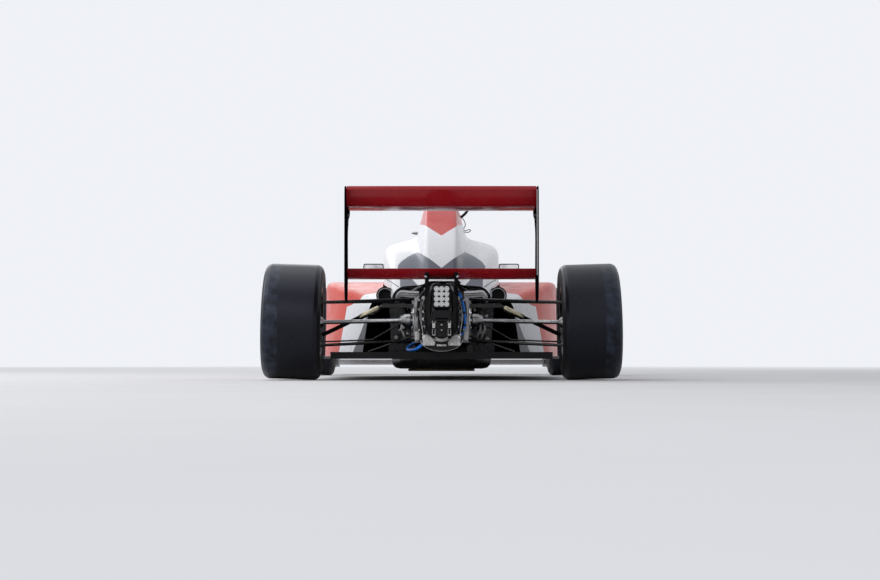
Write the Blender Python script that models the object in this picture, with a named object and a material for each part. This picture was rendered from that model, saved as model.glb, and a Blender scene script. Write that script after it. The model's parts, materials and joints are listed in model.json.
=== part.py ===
"""An open wheel racing car of a junior class, with slick tyres, standing on its wheels.

The car faces +Y, its right side is +X and the ground is z = 0. All lengths are in metres. Side is -1
for the left and 1 for the right, and half means half of a width, counted from the middle of the car.
"""

import math
from collections import namedtuple

import bmesh
import bpy
from mathutils import Matrix, Vector

# Driving dimensions of the whole car
WHEELBASE = 2.70
REAR_OVERHANG = 0.62
FRONT_OVERHANG = 0.98
REAR_Y = REAR_OVERHANG - (REAR_OVERHANG + WHEELBASE + FRONT_OVERHANG) / 2
FRONT_Y = REAR_Y + WHEELBASE
TAIL_Y = REAR_Y - REAR_OVERHANG
TIP_Y = FRONT_Y + FRONT_OVERHANG
GAP = 0.0003
RUNNING_GAP = 0.0055
OVERRUN = 0.05

# Roundness of turned and swept pieces
WHEEL_SIDES = 24
DISC_SIDES = 16
TUBE_SIDES = 8
PIN_SIDES = 12
CORNER_STEPS = 3
SMOOTH_ANGLE = math.radians(35)

# Wheels, tyres and what carries them
RIM_RADIUS = 0.1651
FLANGE_RADIUS = 0.178
FLANGE = 0.010
BARREL_RADIUS = 0.157
SPOKE_INSET = 0.035
SPOKE_THICKNESS = 0.022
HUB_RADIUS = 0.050
HUB_SEAT = 0.005
NUT_RADIUS = 0.028
NUT_LENGTH = 0.016
BORE_RADIUS = 0.0205
BORE_END = 0.050
AXLE_RADIUS = 0.0198
SPOKES = 8
SPOKE_HALF = 0.012
WINDOW_INNER = 0.062
WINDOW_OUTER = 0.140
DISC_RADIUS = 0.125
DISC_INNER = 0.064
DISC_THICKNESS = 0.020
BELL_DEPTH = 0.018
BELL_WALL = 0.008
CALIPER_HALF_ANGLE = math.radians(24)
CALIPER_OUTER = 0.147
CALIPER_INNER = 0.088
CALIPER_WALL = 0.016
KINGPIN_OFFSET = 0.085
EYE_RADIUS = 0.016
EYE_HALF = 0.011
UPRIGHT_HALF_THICKNESS = 0.026
UPRIGHT_INNER_THICKNESS = 0.0156
UPRIGHT_HALF_WIDTH = 0.032
UPRIGHT_WAIST = 0.0448
BEARING_RADIUS = 0.047
BEARING_NOSE_RADIUS = 0.0376
BEARING_START = 0.118
STEERING_ARM = 0.10
TRACK_ROD_DROP = 0.022
TRACK_ROD_RADIUS = 0.009
ROD_EYE_RADIUS = 0.0128
ARM_HALF_THICKNESS = 0.0075
ARM_HALF_WIDTH = 0.014

REAR_HALF_TRACK = 0.7385
REAR_TYRE_RADIUS = 0.2875
REAR_TYRE_HALF = 0.1475
REAR_SEAT_HALF = 0.127
REAR_UPPER_BALL = 0.095
REAR_LOWER_BALL = -0.121
FRONT_HALF_TRACK = 0.778
FRONT_TYRE_RADIUS = 0.275
FRONT_TYRE_HALF = 0.116
FRONT_SEAT_HALF = 0.1016
FRONT_UPPER_BALL = 0.088
FRONT_LOWER_BALL = -0.108
REAR_CAMBER = math.radians(1.75)
FRONT_CAMBER = math.radians(2.0)

Axle = namedtuple("Axle", "y half_track radius half_width seat_half camber upper_ball lower_ball")
AXLES = {
    "rear": Axle(
        REAR_Y, REAR_HALF_TRACK, REAR_TYRE_RADIUS, REAR_TYRE_HALF, REAR_SEAT_HALF, REAR_CAMBER,
        REAR_UPPER_BALL, REAR_LOWER_BALL,
    ),
    "front": Axle(
        FRONT_Y, FRONT_HALF_TRACK, FRONT_TYRE_RADIUS, FRONT_TYRE_HALF, FRONT_SEAT_HALF, FRONT_CAMBER,
        FRONT_UPPER_BALL, FRONT_LOWER_BALL,
    ),
}
# Tyre outline from the bead to the middle of the tread: half width and height above the bead
TYRE_SHARES = ((0.95, 0.24), (1.0, 0.48), (0.99, 0.74), (0.93, 0.92), (0.84, 1.0))
TREAD_SHARE = TYRE_SHARES[-1][0]

# Body: how far its pieces reach ahead of the axles or behind them, and the places along Y that follow
TUB_AHEAD = 1.03
BULKHEAD = 0.17
TUB_REACH = 0.16
COVER_AHEAD = 0.15
GEARBOX_AHEAD = 0.38
GEARBOX_BEHIND = 0.26
CRASH_BEHIND = 0.53
FLOOR_BEHIND = 0.20
FLOOR_SHORT = 0.42
TUB_BACK_Y = REAR_Y + TUB_AHEAD
COCKPIT_BACK_Y = TUB_BACK_Y + BULKHEAD
TUB_FRONT_Y = FRONT_Y + TUB_REACH
COVER_BACK_Y = REAR_Y + COVER_AHEAD
GEARBOX_FRONT_Y = REAR_Y + GEARBOX_AHEAD
GEARBOX_BACK_Y = REAR_Y - GEARBOX_BEHIND
CRASH_BACK_Y = REAR_Y - CRASH_BEHIND
FLOOR_BACK_Y = REAR_Y - FLOOR_BEHIND
FLOOR_FRONT_Y = FRONT_Y - FLOOR_SHORT

FLOOR_STEP_Z = 0.105
FLOOR_THICKNESS = 0.013
FLOOR_TOP_Z = FLOOR_STEP_Z + FLOOR_THICKNESS
FLOOR_HALF = 0.650
FLOOR_TAIL_HALF = 0.545
FLOOR_LIP = 0.034
FLOOR_NECK = 0.20
FLOOR_TAPER = 0.30
KEEL_HALF = 0.253
KEEL_Z = 0.055
KEEL_CORNER = 0.045
KEEL_CORNER_SHARE = 0.9
# Sections of the floor: place along Y, half width, thickness, then the shares of the keel's half width
# and of its depth
FLOOR_STATIONS = (
    (FLOOR_BACK_Y, FLOOR_TAIL_HALF, FLOOR_LIP, 0.35, 0.02),
    (REAR_Y, FLOOR_TAIL_HALF, FLOOR_THICKNESS, 0.80, 0.55),
    (REAR_Y + FLOOR_NECK, FLOOR_TAIL_HALF, FLOOR_THICKNESS, 1.00, 1.00),
    (REAR_Y + 2 * FLOOR_NECK, FLOOR_HALF, FLOOR_THICKNESS, 1.00, 1.00),
    (FLOOR_FRONT_Y - FLOOR_TAPER, FLOOR_HALF, FLOOR_THICKNESS, 1.00, 1.00),
    (FLOOR_FRONT_Y, KEEL_HALF + KEEL_CORNER, FLOOR_THICKNESS, 0.80, 0.60),
)
PLANK_HALF = 0.170
PLANK_THICKNESS = 0.012
PLANK_AHEAD = 0.22
PLANK_SHORT = 0.34

TUB_HALF = 0.310
TUB_BASE_Z = FLOOR_TOP_Z + GAP
TUB_TOP_Z = 0.722
TUB_CORNER = 0.055
# Share of the tub's length from its back, then half widths low and high, bottom and top
TUB_SHARES = (
    (0.00, 0.88, 1.00, 0.00, 1.00),
    (0.18, 0.92, 1.00, 0.00, 0.99),
    (0.36, 0.90, 0.96, 0.00, 0.92),
    (0.55, 0.76, 0.82, 0.01, 0.81),
    (0.72, 0.60, 0.65, 0.05, 0.73),
    (0.86, 0.50, 0.55, 0.10, 0.66),
    (1.00, 0.42, 0.46, 0.16, 0.60),
)
COCKPIT_LENGTH = 0.78
COCKPIT_HALF = 0.235
COCKPIT_FLOOR_Z = 0.155
COCKPIT_BACK_SHARE = 0.80
COCKPIT_FRONT_SHARE = 0.72
COCKPIT_WIDEST_SHARE = 0.25
FOOTWELL_REACH = 0.02
FOOTWELL_HALF = 0.115
FOOTWELL_LOW_Z = 0.235
FOOTWELL_HIGH_Z = 0.430

NOSE_SHORT = 0.06
NOSE_CORNER_SHARE = 0.42
NOSE_BASE_SHARE = 0.9
# Share of the nose's length from the tub, then half width, bottom and top as shares of the tub's end
NOSE_SHARES = (
    (0.00, 1.00, 0.00, 1.00),
    (0.35, 0.86, 0.02, 0.82),
    (0.70, 0.66, 0.05, 0.60),
    (0.93, 0.44, 0.10, 0.42),
    (1.00, 0.22, 0.18, 0.32),
)

HOOP_LENGTH = 0.15
HOOP_FOOT_HALF = 0.142
HOOP_TOP_HALF = 0.077
HOOP_TOP_Z = 1.000
HOOP_CORNER = 0.030
INTAKE_WALL = 0.018
INTAKE_CORNER = 0.015
INTAKE_SILL_SHARE = 0.37
INTAKE_FOOT_SHARE = 1.15

SKIN = 0.010
# Share of the cover's length from its front, then half width and height of its hem, of its
# shoulder, of the spine's foot and of the spine's top, as shares of the widest half and of the top
COVER_HALF = TUB_HALF + SKIN / 2
COVER_SHARES = (
    (0.00, 1.00, 0.500, 1.00, 0.720, 0.44, 0.766, 0.24, 1.000),
    (0.32, 0.98, 0.500, 0.96, 0.690, 0.43, 0.722, 0.25, 0.925),
    (0.62, 0.90, 0.480, 0.86, 0.620, 0.39, 0.650, 0.25, 0.790),
    (0.84, 0.84, 0.440, 0.80, 0.540, 0.34, 0.560, 0.24, 0.640),
    (1.00, 0.80, 0.410, 0.76, 0.470, 0.30, 0.480, 0.20, 0.500),
)
COVER_SHOULDER_CUT = 0.060
COVER_EDGE_CUT = 0.012

POD_FRONT_AHEAD = 1.72
POD_BACK_AHEAD = 0.34
POD_HALF = 0.642
POD_TOP_Z = 0.535
POD_CORNER = 0.045
# Share of the pod's length from its back, then where its top starts as a share of the cover's half
# width, where its top ends and where it stands on the floor as shares of its own, and its height's
POD_SHARES = (
    (0.00, 0.867, 0.57, 0.64, 0.760),
    (0.14, 0.887, 0.68, 0.78, 0.830),
    (0.32, 0.992, 0.84, 0.92, 0.910),
    (0.55, 1.008, 0.98, 1.00, 0.985),
    (0.80, 0.978, 1.00, 1.00, 0.990),
    (1.00, 0.958, 0.92, 0.96, 0.930),
)

RADIATOR_THICKNESS = 0.045
RADIATOR_AHEAD = 1.22
RADIATOR_LEAN = 0.10
RADIATOR_CLEARANCE = 0.020
RADIATOR_OUTER = 0.582
RADIATOR_TOP_Z = 0.485

ENGINE_HALF = 0.130
ENGINE_TOP_Z = 0.490

# Share of the gearbox's length from its front, then half width, bottom and top
GEARBOX_HALF = 0.160
GEARBOX_LOW_Z = 0.150
GEARBOX_TOP_Z = 0.430
GEARBOX_CORNER = 0.030
GEARBOX_SHARES = (
    (0.00, 1.00, 0.10, 1.00),
    (0.40, 0.88, 0.05, 0.98),
    (0.72, 0.84, 0.06, 0.96),
    (1.00, 0.50, 0.20, 0.92),
)
CRASH_HALF = 0.066
CRASH_TAIL_HALF = 0.044
CRASH_LOW_Z = 0.216
CRASH_TAIL_LOW_Z = 0.330
CRASH_TOP_Z = 0.462
CRASH_STRAIGHT = 0.12
LIGHT_HALF = 0.038
LIGHT_LOW_Z = 0.350
LIGHT_HEIGHT = 0.102
LIGHT_DEPTH = 0.026

WING_HALF = 0.4525
ENDPLATE_THICKNESS = 0.006
ENDPLATE_TOP_Z = 0.923
ENDPLATE_LOW_Z = 0.377
ENDPLATE_CHORD = 0.49
ENDPLATE_CORNER = 0.04
# Corners of an endplate, as shares of its length from its back and of its height
ENDPLATE_SHARES = (
    (0.00, 1.00), (0.00, 0.14), (0.10, 0.00), (0.48, 0.00), (0.58, 0.24), (0.52, 0.60), (0.68, 0.74),
    (1.00, 0.80), (1.00, 1.00),
)
REAR_MAIN_CHORD = 0.250
REAR_MAIN_BACK = 0.170
REAR_MAIN_Z = 0.850
REAR_FLAP_CHORD = 0.150
REAR_FLAP_BACK = 0.022
REAR_FLAP_Z = 0.912
BEAM_CHORD = 0.165
BEAM_BACK = 0.150
BEAM_Z = 0.536
FRONT_MAIN_CHORD = 0.230
FRONT_MAIN_BACK = 0.300
FRONT_MAIN_Z = 0.098
FRONT_FLAP_CHORD = 0.150
FRONT_FLAP_BACK = 0.440
FRONT_FLAP_Z = 0.160
# Wing planes: chord, shares of it that are thickness and camber, angle, then how far the trailing
# edge lies ahead of the tail, or behind the tip, and its height
Plane = namedtuple("Plane", "chord thickness_share camber_share angle back z")
REAR_MAIN = Plane(REAR_MAIN_CHORD, 0.088, 0.040, math.radians(1), REAR_MAIN_BACK, REAR_MAIN_Z)
REAR_FLAP = Plane(REAR_FLAP_CHORD, 0.093, 0.093, math.radians(31), REAR_FLAP_BACK, REAR_FLAP_Z)
BEAM_PLANE = Plane(BEAM_CHORD, 0.085, 0.060, math.radians(14), BEAM_BACK, BEAM_Z)
FRONT_MAIN = Plane(FRONT_MAIN_CHORD, 0.104, 0.061, math.radians(4), FRONT_MAIN_BACK, FRONT_MAIN_Z)
FRONT_FLAP = Plane(FRONT_FLAP_CHORD, 0.093, 0.080, math.radians(18), FRONT_FLAP_BACK, FRONT_FLAP_Z)
BULGE_SHARE = 2.6
EDGE_THICKNESS = 0.0012
PLANE_STEPS = 6
FRONT_WING_HALF = 0.690
FRONT_FLAP_INNER = 0.150
FRONT_ENDPLATE_LENGTH = 0.60
FRONT_ENDPLATE_LOW_Z = 0.050
FRONT_ENDPLATE_TOP_Z = 0.245
FRONT_ENDPLATE_CORNER = 0.03
FRONT_ENDPLATE_SHARES = ((0.00, 0.00), (1.00, 0.00), (1.00, 0.45), (0.55, 1.00), (0.00, 1.00))
PYLON_HALF = 0.055
PYLON_THICKNESS = 0.010
PYLON_CHORD = 0.16
SUPPORT_THICKNESS = 0.014
SUPPORT_SETBACK = 0.02
SUPPORT_CHORD_SHARE = 0.75

DRIVE_SHAFT_RADIUS = 0.0105
JOINT_BOOT_RADIUS = 0.034
JOINT_BOOT_LENGTH = 0.050
JOINT_BOOT_STRAIGHT = 0.030
OUTER_BOOT_RADIUS = 0.0272
OUTER_BOOT_LENGTH = 0.015
OUTER_BOOT_TAPER = 0.015
OUTER_BOOT_INSET = 0.005
OUTPUT_HALF = 0.155
OUTPUT_Z = 0.297

ARM_ROOT_HALF = 0.110
REAR_UPPER_ROOT_Z = 0.401
REAR_LOWER_ROOT_Z = 0.198
FRONT_UPPER_ROOT_Z = 0.405
FRONT_LOWER_ROOT_Z = 0.220
REAR_ARM_LEAD = 0.300
REAR_UPPER_TRAIL = 0.120
REAR_LOWER_TRAIL = 0.140
FRONT_ARM_LEAD = 0.100
FRONT_UPPER_TRAIL = 0.260
FRONT_LOWER_TRAIL = 0.280
# Suspension arms: height of the inner ends, then how far ahead of the axle the front leg ends and how
# far behind it the rear leg
Arm = namedtuple("Arm", "root_z lead trail")
ARMS = {
    ("rear", "upper"): Arm(REAR_UPPER_ROOT_Z, REAR_ARM_LEAD, REAR_UPPER_TRAIL),
    ("rear", "lower"): Arm(REAR_LOWER_ROOT_Z, REAR_ARM_LEAD, REAR_LOWER_TRAIL),
    ("front", "upper"): Arm(FRONT_UPPER_ROOT_Z, FRONT_ARM_LEAD, FRONT_UPPER_TRAIL),
    ("front", "lower"): Arm(FRONT_LOWER_ROOT_Z, FRONT_ARM_LEAD, FRONT_LOWER_TRAIL),
}
PUSHROD_RADIUS = 0.011
REAR_PUSHROD_AHEAD = 0.075
REAR_PUSHROD_FOOT_HALF = 0.600
REAR_PUSHROD_FOOT_Z = 0.225
REAR_PUSHROD_TOP_HALF = 0.290
REAR_PUSHROD_TOP_Z = 0.372
FRONT_PUSHROD_AHEAD = -0.020
FRONT_PUSHROD_FOOT_HALF = 0.625
FRONT_PUSHROD_FOOT_Z = 0.200
FRONT_PUSHROD_TOP_HALF = 0.120
FRONT_PUSHROD_TOP_Z = 0.490
# Pushrods: how far ahead of the axle, then half and height of the foot and of the top
Pushrod = namedtuple("Pushrod", "ahead foot_half foot_z top_half top_z")
PUSHRODS = {
    "rear": Pushrod(
        REAR_PUSHROD_AHEAD, REAR_PUSHROD_FOOT_HALF, REAR_PUSHROD_FOOT_Z, REAR_PUSHROD_TOP_HALF,
        REAR_PUSHROD_TOP_Z,
    ),
    "front": Pushrod(
        FRONT_PUSHROD_AHEAD, FRONT_PUSHROD_FOOT_HALF, FRONT_PUSHROD_FOOT_Z, FRONT_PUSHROD_TOP_HALF,
        FRONT_PUSHROD_TOP_Z,
    ),
}
ROCKER_HALF_THICKNESS = 0.009

STEERING_WHEEL_RADIUS = 0.135
STEERING_WHEEL_TUBE = 0.014
STEERING_WHEEL_AHEAD = 0.56
STEERING_WHEEL_Z = 0.515
COLUMN_RADIUS = 0.014
COLUMN_TILT = math.radians(14)
DASHBOARD_AHEAD = 0.11
DASHBOARD_THICKNESS = 0.020
DASHBOARD_LOW_Z = 0.400
DASHBOARD_TOP_Z = 0.580

SEAT_THICKNESS = 0.045
SEAT_LIP = 0.063
SEAT_LAP_SHARE = 0.62
SEAT_BEND_SHARE = 0.22
HEADREST_HEIGHT = 0.13
HEADREST_LENGTH = 0.30
HEADREST_THICKNESS = 0.085

MIRROR_AHEAD = 2.00
MIRROR_INNER = 0.343
MIRROR_OUTER = 0.465
MIRROR_RISE = 0.013
MIRROR_HEIGHT = 0.050
MIRROR_DEPTH = 0.060
MIRROR_CORNER = 0.012
MIRROR_BEND_SHARE = 0.6
MIRROR_STEM = 0.007
MIRROR_STEM_INSET = 0.034
MIRROR_FOOT_SHARE = 0.6
MIRROR_FOOT_DEPTH = 0.047

SCREEN_THICKNESS = 0.004
SCREEN_HEIGHT = 0.085
SCREEN_BACK = 0.12
SCREEN_FOOT_HALF = 0.185
SCREEN_FOOT_REACH = 0.190
SCREEN_TOP_HALF = 0.165
SCREEN_TOP_REACH = 0.130
SCREEN_END_SHARE = 0.35
SCREEN_STEPS = 8
SCREEN_HALF_TURN = math.radians(80)
OUTLET_RADIUS = 0.045
OUTLET_WALL = 0.004
OUTLET_HALF = 0.290
OUTLET_Z = 0.430
OUTLET_AHEAD = 0.26
OUTLET_LENGTH = 0.17
OUTLET_NECK_SHARE = 0.9

# Hoses: the block on the gearbox's top that they start in, then the places that each one runs
# through, as half width, distance ahead of the rear axle and height
HOSE_SIDES = 6
HOSE_STEPS = 2
BLOCK_HALF = 0.050
BLOCK_BEHIND = 0.240
BLOCK_LENGTH = 0.040
BLOCK_LOW_Z = 0.400
BLOCK_HIGH_Z = 0.440
BLUE_HOSE_RADIUS = 0.0060
LOOM_RADIUS = 0.0065
LOW_HOSE_RADIUS = 0.0070
BLUE_HOSE = (
    (0.030, -0.220, 0.428), (0.046, -0.242, 0.457), (0.076, -0.250, 0.440), (0.099, -0.260, 0.395),
    (0.112, -0.265, 0.330), (0.114, -0.262, 0.270), (0.100, -0.240, 0.228), (0.072, -0.215, 0.215),
)
LEFT_LOOM = (
    (-0.030, -0.220, 0.430), (-0.070, -0.180, 0.428), (-0.096, -0.030, 0.4275), (-0.098, 0.170, 0.4325),
    (-0.100, 0.330, 0.437), (-0.106, 0.420, 0.455),
)
RIGHT_LOOM = (
    (0.000, -0.210, 0.430), (0.066, -0.170, 0.428), (0.096, -0.030, 0.4275), (0.098, 0.170, 0.4325),
    (0.100, 0.330, 0.437), (0.106, 0.420, 0.455),
)
LAMP_LOOM = (
    (-0.012, -0.222, 0.430), (-0.012, -0.246, 0.466), (-0.018, -0.300, 0.470), (-0.016, -0.400, 0.469),
    (-0.012, -0.495, 0.468), (-0.012, -0.515, 0.450),
)
LOW_HOSE = (
    (-0.115, 0.030, 0.195), (-0.160, 0.000, 0.168), (-0.170, -0.045, 0.153), (-0.150, -0.110, 0.148),
    (-0.125, -0.160, 0.153), (-0.098, -0.182, 0.172), (-0.068, -0.182, 0.205),
)

Look = namedtuple("Look", "colour roughness metallic")
LOOKS = {
    "white paint": Look((0.80, 0.81, 0.84), 0.25, 0.0),
    "red paint": Look((0.60, 0.03, 0.02), 0.25, 0.0),
    "wing paint": Look((0.22, 0.005, 0.01), 0.2, 0.0),
    "carbon": Look((0.02, 0.02, 0.022), 0.35, 0.0),
    "tyre": Look((0.025, 0.025, 0.028), 0.75, 0.0),
    "rim": Look((0.30, 0.30, 0.31), 0.35, 0.9),
    "steel": Look((0.55, 0.55, 0.56), 0.3, 1.0),
    "casting": Look((0.45, 0.45, 0.46), 0.5, 0.9),
    "brass": Look((0.45, 0.35, 0.16), 0.4, 0.9),
    "seat": Look((0.05, 0.05, 0.055), 0.85, 0.0),
    "wood": Look((0.20, 0.12, 0.07), 0.7, 0.0),
    "glass": Look((0.60, 0.65, 0.68), 0.1, 0.0),
    "light": Look((0.75, 0.75, 0.72), 0.3, 0.0),
    "hose": Look((0.015, 0.16, 0.62), 0.4, 0.0),
}


def clear_scene():
    for obj in list(bpy.data.objects):
        bpy.data.objects.remove(obj)


def paint(look):
    """The material of a look, made on its first use."""
    found = bpy.data.materials.get(look)
    if found:
        return found
    made = bpy.data.materials.new(look)
    made.use_nodes = True
    shader = made.node_tree.nodes["Principled BSDF"]
    colour, roughness, metallic = LOOKS[look]
    shader.inputs["Base Color"].default_value = (*colour, 1)
    shader.inputs["Roughness"].default_value = roughness
    shader.inputs["Metallic"].default_value = metallic
    return made


# Outlines


def rounded(corners, closed=True):
    """Points of an outline of (u, v, cut) corners, each corner curved from cut before it to cut after it."""
    points = []
    count = len(corners)
    for index, (u, v, cut) in enumerate(corners):
        here = Vector((u, v))
        if not cut or (not closed and index in (0, count - 1)):
            points.append(here)
            continue
        before = Vector(corners[index - 1][:2])
        after = Vector(corners[(index + 1) % count][:2])
        start = here + (before - here).normalized() * cut
        end = here + (after - here).normalized() * cut
        for step in range(CORNER_STEPS + 1):
            t = step / CORNER_STEPS
            points.append(start.lerp(here, t).lerp(here.lerp(end, t), t))
    return points


def offset(points, distance):
    """An open outline moved to its left by a distance."""
    moved = []
    last = len(points) - 1
    for index, here in enumerate(points):
        first = (here - points[index - 1]).normalized() if index else None
        second = (points[index + 1] - here).normalized() if index < last else None
        first = first or second
        second = second or first
        normals = [Vector((-d.y, d.x)) for d in (first, second)]
        middle = (normals[0] + normals[1]).normalized()
        moved.append(here + middle * (distance / middle.dot(normals[0])))
    return moved


def across(y, points):
    """Points of an outline in the plane across the car at y."""
    return [Vector((u, y, v)) for u, v in points]


def mixed(low, high, share):
    return low + (high - low) * share


# Solids, each a new bmesh


def loft(rings):
    solid = bmesh.new()
    rows = [[solid.verts.new(point) for point in ring] for ring in rings]
    for row, following in zip(rows, rows[1:]):
        for index in range(len(row)):
            after = (index + 1) % len(row)
            solid.faces.new((row[index], row[after], following[after], following[index]))
    solid.faces.new(rows[0][::-1])
    solid.faces.new(rows[-1])
    return solid


def revolve(profile, sides, side=1, ring=False):
    """A profile of (x, radius) points turned about X: from pole to pole, or closed on itself as a ring."""
    solid = bmesh.new()
    rows = []
    for x, radius in profile:
        if radius == 0:
            rows.append([solid.verts.new((side * x, 0, 0))] * sides)
            continue
        turns = [math.tau * step / sides for step in range(sides)]
        rows.append(
            [solid.verts.new((side * x, radius * math.cos(a), radius * math.sin(a))) for a in turns]
        )
    pairs = list(zip(rows, rows[1:]))
    if ring:
        pairs.append((rows[-1], rows[0]))
    for row, following in pairs:
        for index in range(sides):
            after = (index + 1) % sides
            corners = (row[index], row[after], following[after], following[index])
            solid.faces.new(list(dict.fromkeys(corners)))
    return solid


def tube(start, end, half_width, half_thickness, sides=TUBE_SIDES):
    """A straight bar of elliptical section, its width level."""
    start = Vector(start)
    end = Vector(end)
    along = (end - start).normalized()
    wide = along.cross(Vector((0, 0, 1)))
    if wide.length < 0.01:
        wide = Vector((1, 0, 0))
    wide.normalize()
    thick = wide.cross(along)
    rings = []
    for centre in (start, end):
        ring = []
        for step in range(sides):
            angle = math.tau * (step + 0.5) / sides
            ring.append(
                centre + wide * half_width * math.cos(angle) + thick * half_thickness * math.sin(angle)
            )
        rings.append(ring)
    return loft(rings)


def rod(start, end, radius, sides=TUBE_SIDES):
    return tube(start, end, radius, radius, sides)


def box(low, high):
    corners = [(low[0], low[1]), (high[0], low[1]), (high[0], high[1]), (low[0], high[1])]
    return loft([[Vector((x, y, z)) for x, y in corners] for z in (low[2], high[2])])


def plate_across_x(outline, start, end):
    """A plate with an outline of (y, z) points, from start to end along X."""
    return loft([[Vector((x, y, z)) for y, z in outline] for x in (start, end)])


def plate_level(outline, low, high):
    """A plate with an outline of (x, y) points, from low to high."""
    return loft([[Vector((x, y, z)) for x, y in outline] for z in (low, high)])


def swollen(solid, distance=GAP):
    """The solid with its faces moved out, as a cutter that leaves a gap."""
    bmesh.ops.recalc_face_normals(solid, faces=solid.faces)
    solid.normal_update()
    moves = [vertex.normal * vertex.calc_shell_factor() * distance for vertex in solid.verts]
    for vertex, move in zip(solid.verts, moves):
        vertex.co += move
    return solid


# Nodes


def mesh_object(name, solid, place):
    bmesh.ops.recalc_face_normals(solid, faces=solid.faces)
    mesh = bpy.data.meshes.new(name)
    solid.to_mesh(mesh)
    solid.free()
    obj = bpy.data.objects.new(name, mesh)
    bpy.context.scene.collection.objects.link(obj)
    obj.matrix_world = place
    return obj


def node(name, look, solid, adds=(), cuts=(), keeps=(), place=Matrix.Identity(4)):
    """One piece of the car: a solid joined with others, cut by others and kept inside others."""
    obj = mesh_object(name, solid, place)
    obj.data.materials.append(paint(look))
    obj.data.shade_smooth()
    obj.data.set_sharp_from_angle(angle=SMOOTH_ANGLE)
    for operation, tools in (("UNION", adds), ("INTERSECT", keeps), ("DIFFERENCE", cuts)):
        for tool in tools:
            combine(obj, operation, tool)
    return obj


def combine(obj, operation, tool):
    """One Boolean step of a node, its tool in the node's own frame."""
    helper = mesh_object(f"{obj.name}.tool{len(obj.modifiers)}", tool, obj.matrix_world.copy())
    helper.hide_render = True
    helper.display_type = "WIRE"
    step = obj.modifiers.new(helper.name, "BOOLEAN")
    step.operation = operation
    step.solver = "EXACT"
    step.object = helper


def side_name(side):
    return "left" if side < 0 else "right"


# Wheels


def hub_height(axle):
    """The height that puts the tread's inner edge on the ground."""
    tread_half = axle.half_width * TREAD_SHARE
    return axle.radius * math.cos(axle.camber) + tread_half * math.sin(axle.camber)


def hub_place(axle, side):
    tilt = Matrix.Rotation(-side * axle.camber, 4, "Y")
    return Matrix.Translation((side * axle.half_track, axle.y, hub_height(axle))) @ tilt


def tyre(axle, side):
    bead = RIM_RADIUS + GAP
    seat = axle.seat_half - GAP
    half = [(seat, bead), (seat, FLANGE_RADIUS + SKIN / 2)]
    for width_share, height_share in TYRE_SHARES:
        half.append((axle.half_width * width_share, mixed(bead, axle.radius, height_share)))
    profile = half + [(-x, radius) for x, radius in reversed(half)]
    return revolve(profile, WHEEL_SIDES, side, ring=True)


def rim(axle, side):
    lip = axle.seat_half + FLANGE
    face = lip - SPOKE_INSET
    profile = [
        (face + NUT_LENGTH, 0),
        (face + NUT_LENGTH, NUT_RADIUS),
        (face, NUT_RADIUS),
        (face - FLANGE / 2, HUB_RADIUS),
        (face, WINDOW_OUTER),
        (lip, FLANGE_RADIUS),
        (axle.seat_half, FLANGE_RADIUS),
        (axle.seat_half, RIM_RADIUS),
        (-axle.seat_half, RIM_RADIUS),
        (-axle.seat_half, FLANGE_RADIUS),
        (-lip, FLANGE_RADIUS),
        (-lip, BARREL_RADIUS),
        (face - SPOKE_THICKNESS, BARREL_RADIUS),
        (face - SPOKE_THICKNESS, HUB_RADIUS),
        (HUB_SEAT, HUB_RADIUS),
        (HUB_SEAT, BORE_RADIUS),
        (BORE_END, BORE_RADIUS),
        (BORE_END, 0),
    ]
    return revolve(profile, WHEEL_SIDES, side)


def rim_window(axle, side, number):
    """The opening between two spokes, its sides level with them."""
    middle = math.tau * (number + 0.5) / SPOKES
    inner = math.asin(SPOKE_HALF / WINDOW_INNER)
    outer = math.asin(SPOKE_HALF / WINDOW_OUTER)
    half = math.pi / SPOKES
    corners = (
        (WINDOW_INNER, middle - half + inner),
        (WINDOW_OUTER, middle - half + outer),
        (WINDOW_OUTER, middle + half - outer),
        (WINDOW_INNER, middle + half - inner),
    )
    outline = [(radius * math.cos(angle), radius * math.sin(angle)) for radius, angle in corners]
    face = axle.seat_half + FLANGE - SPOKE_INSET
    return plate_across_x(outline, side * (face - SPOKE_THICKNESS - FLANGE), side * (face + FLANGE))


def brake_disc(side):
    back = HUB_SEAT
    seat = back + BELL_WALL
    profile = [
        (seat, AXLE_RADIUS + BELL_WALL),
        (seat, HUB_RADIUS - BELL_WALL),
        (back, HUB_RADIUS),
        (back - BELL_DEPTH, DISC_INNER),
        (back - BELL_DEPTH, DISC_RADIUS),
        (back - BELL_DEPTH - DISC_THICKNESS, DISC_RADIUS),
        (back - BELL_DEPTH - DISC_THICKNESS, DISC_INNER - BELL_WALL),
        (back - BELL_WALL, HUB_RADIUS - BELL_WALL),
        (back - BELL_WALL, AXLE_RADIUS + BELL_WALL),
    ]
    return revolve(profile, DISC_SIDES, side, ring=True)


def caliper(side):
    """A part ring around the front of the disc, open to it."""
    disc_out = HUB_SEAT - BELL_DEPTH
    disc_in = disc_out - DISC_THICKNESS
    slot = (disc_in - RUNNING_GAP, disc_out + RUNNING_GAP)
    low = slot[0] - CALIPER_WALL
    high = slot[1] + CALIPER_WALL
    groove = DISC_RADIUS + RUNNING_GAP
    profile = (
        (low, CALIPER_INNER),
        (low, CALIPER_OUTER),
        (high, CALIPER_OUTER),
        (high, CALIPER_INNER),
        (slot[1], CALIPER_INNER),
        (slot[1], groove),
        (slot[0], groove),
        (slot[0], CALIPER_INNER),
    )
    rings = []
    for step in range(CORNER_STEPS + 1):
        angle = CALIPER_HALF_ANGLE * (2 * step / CORNER_STEPS - 1)
        rings.append(
            [Vector((side * x, r * math.cos(angle), r * math.sin(angle))) for x, r in profile]
        )
    return loft(rings)


def tilted(solid, axle, side):
    """A solid in the wheel's own frame, turned to the wheel's camber about the hub."""
    bmesh.ops.transform(solid, matrix=Matrix.Rotation(-side * axle.camber, 4, "Y"), verts=solid.verts)
    return solid


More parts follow.
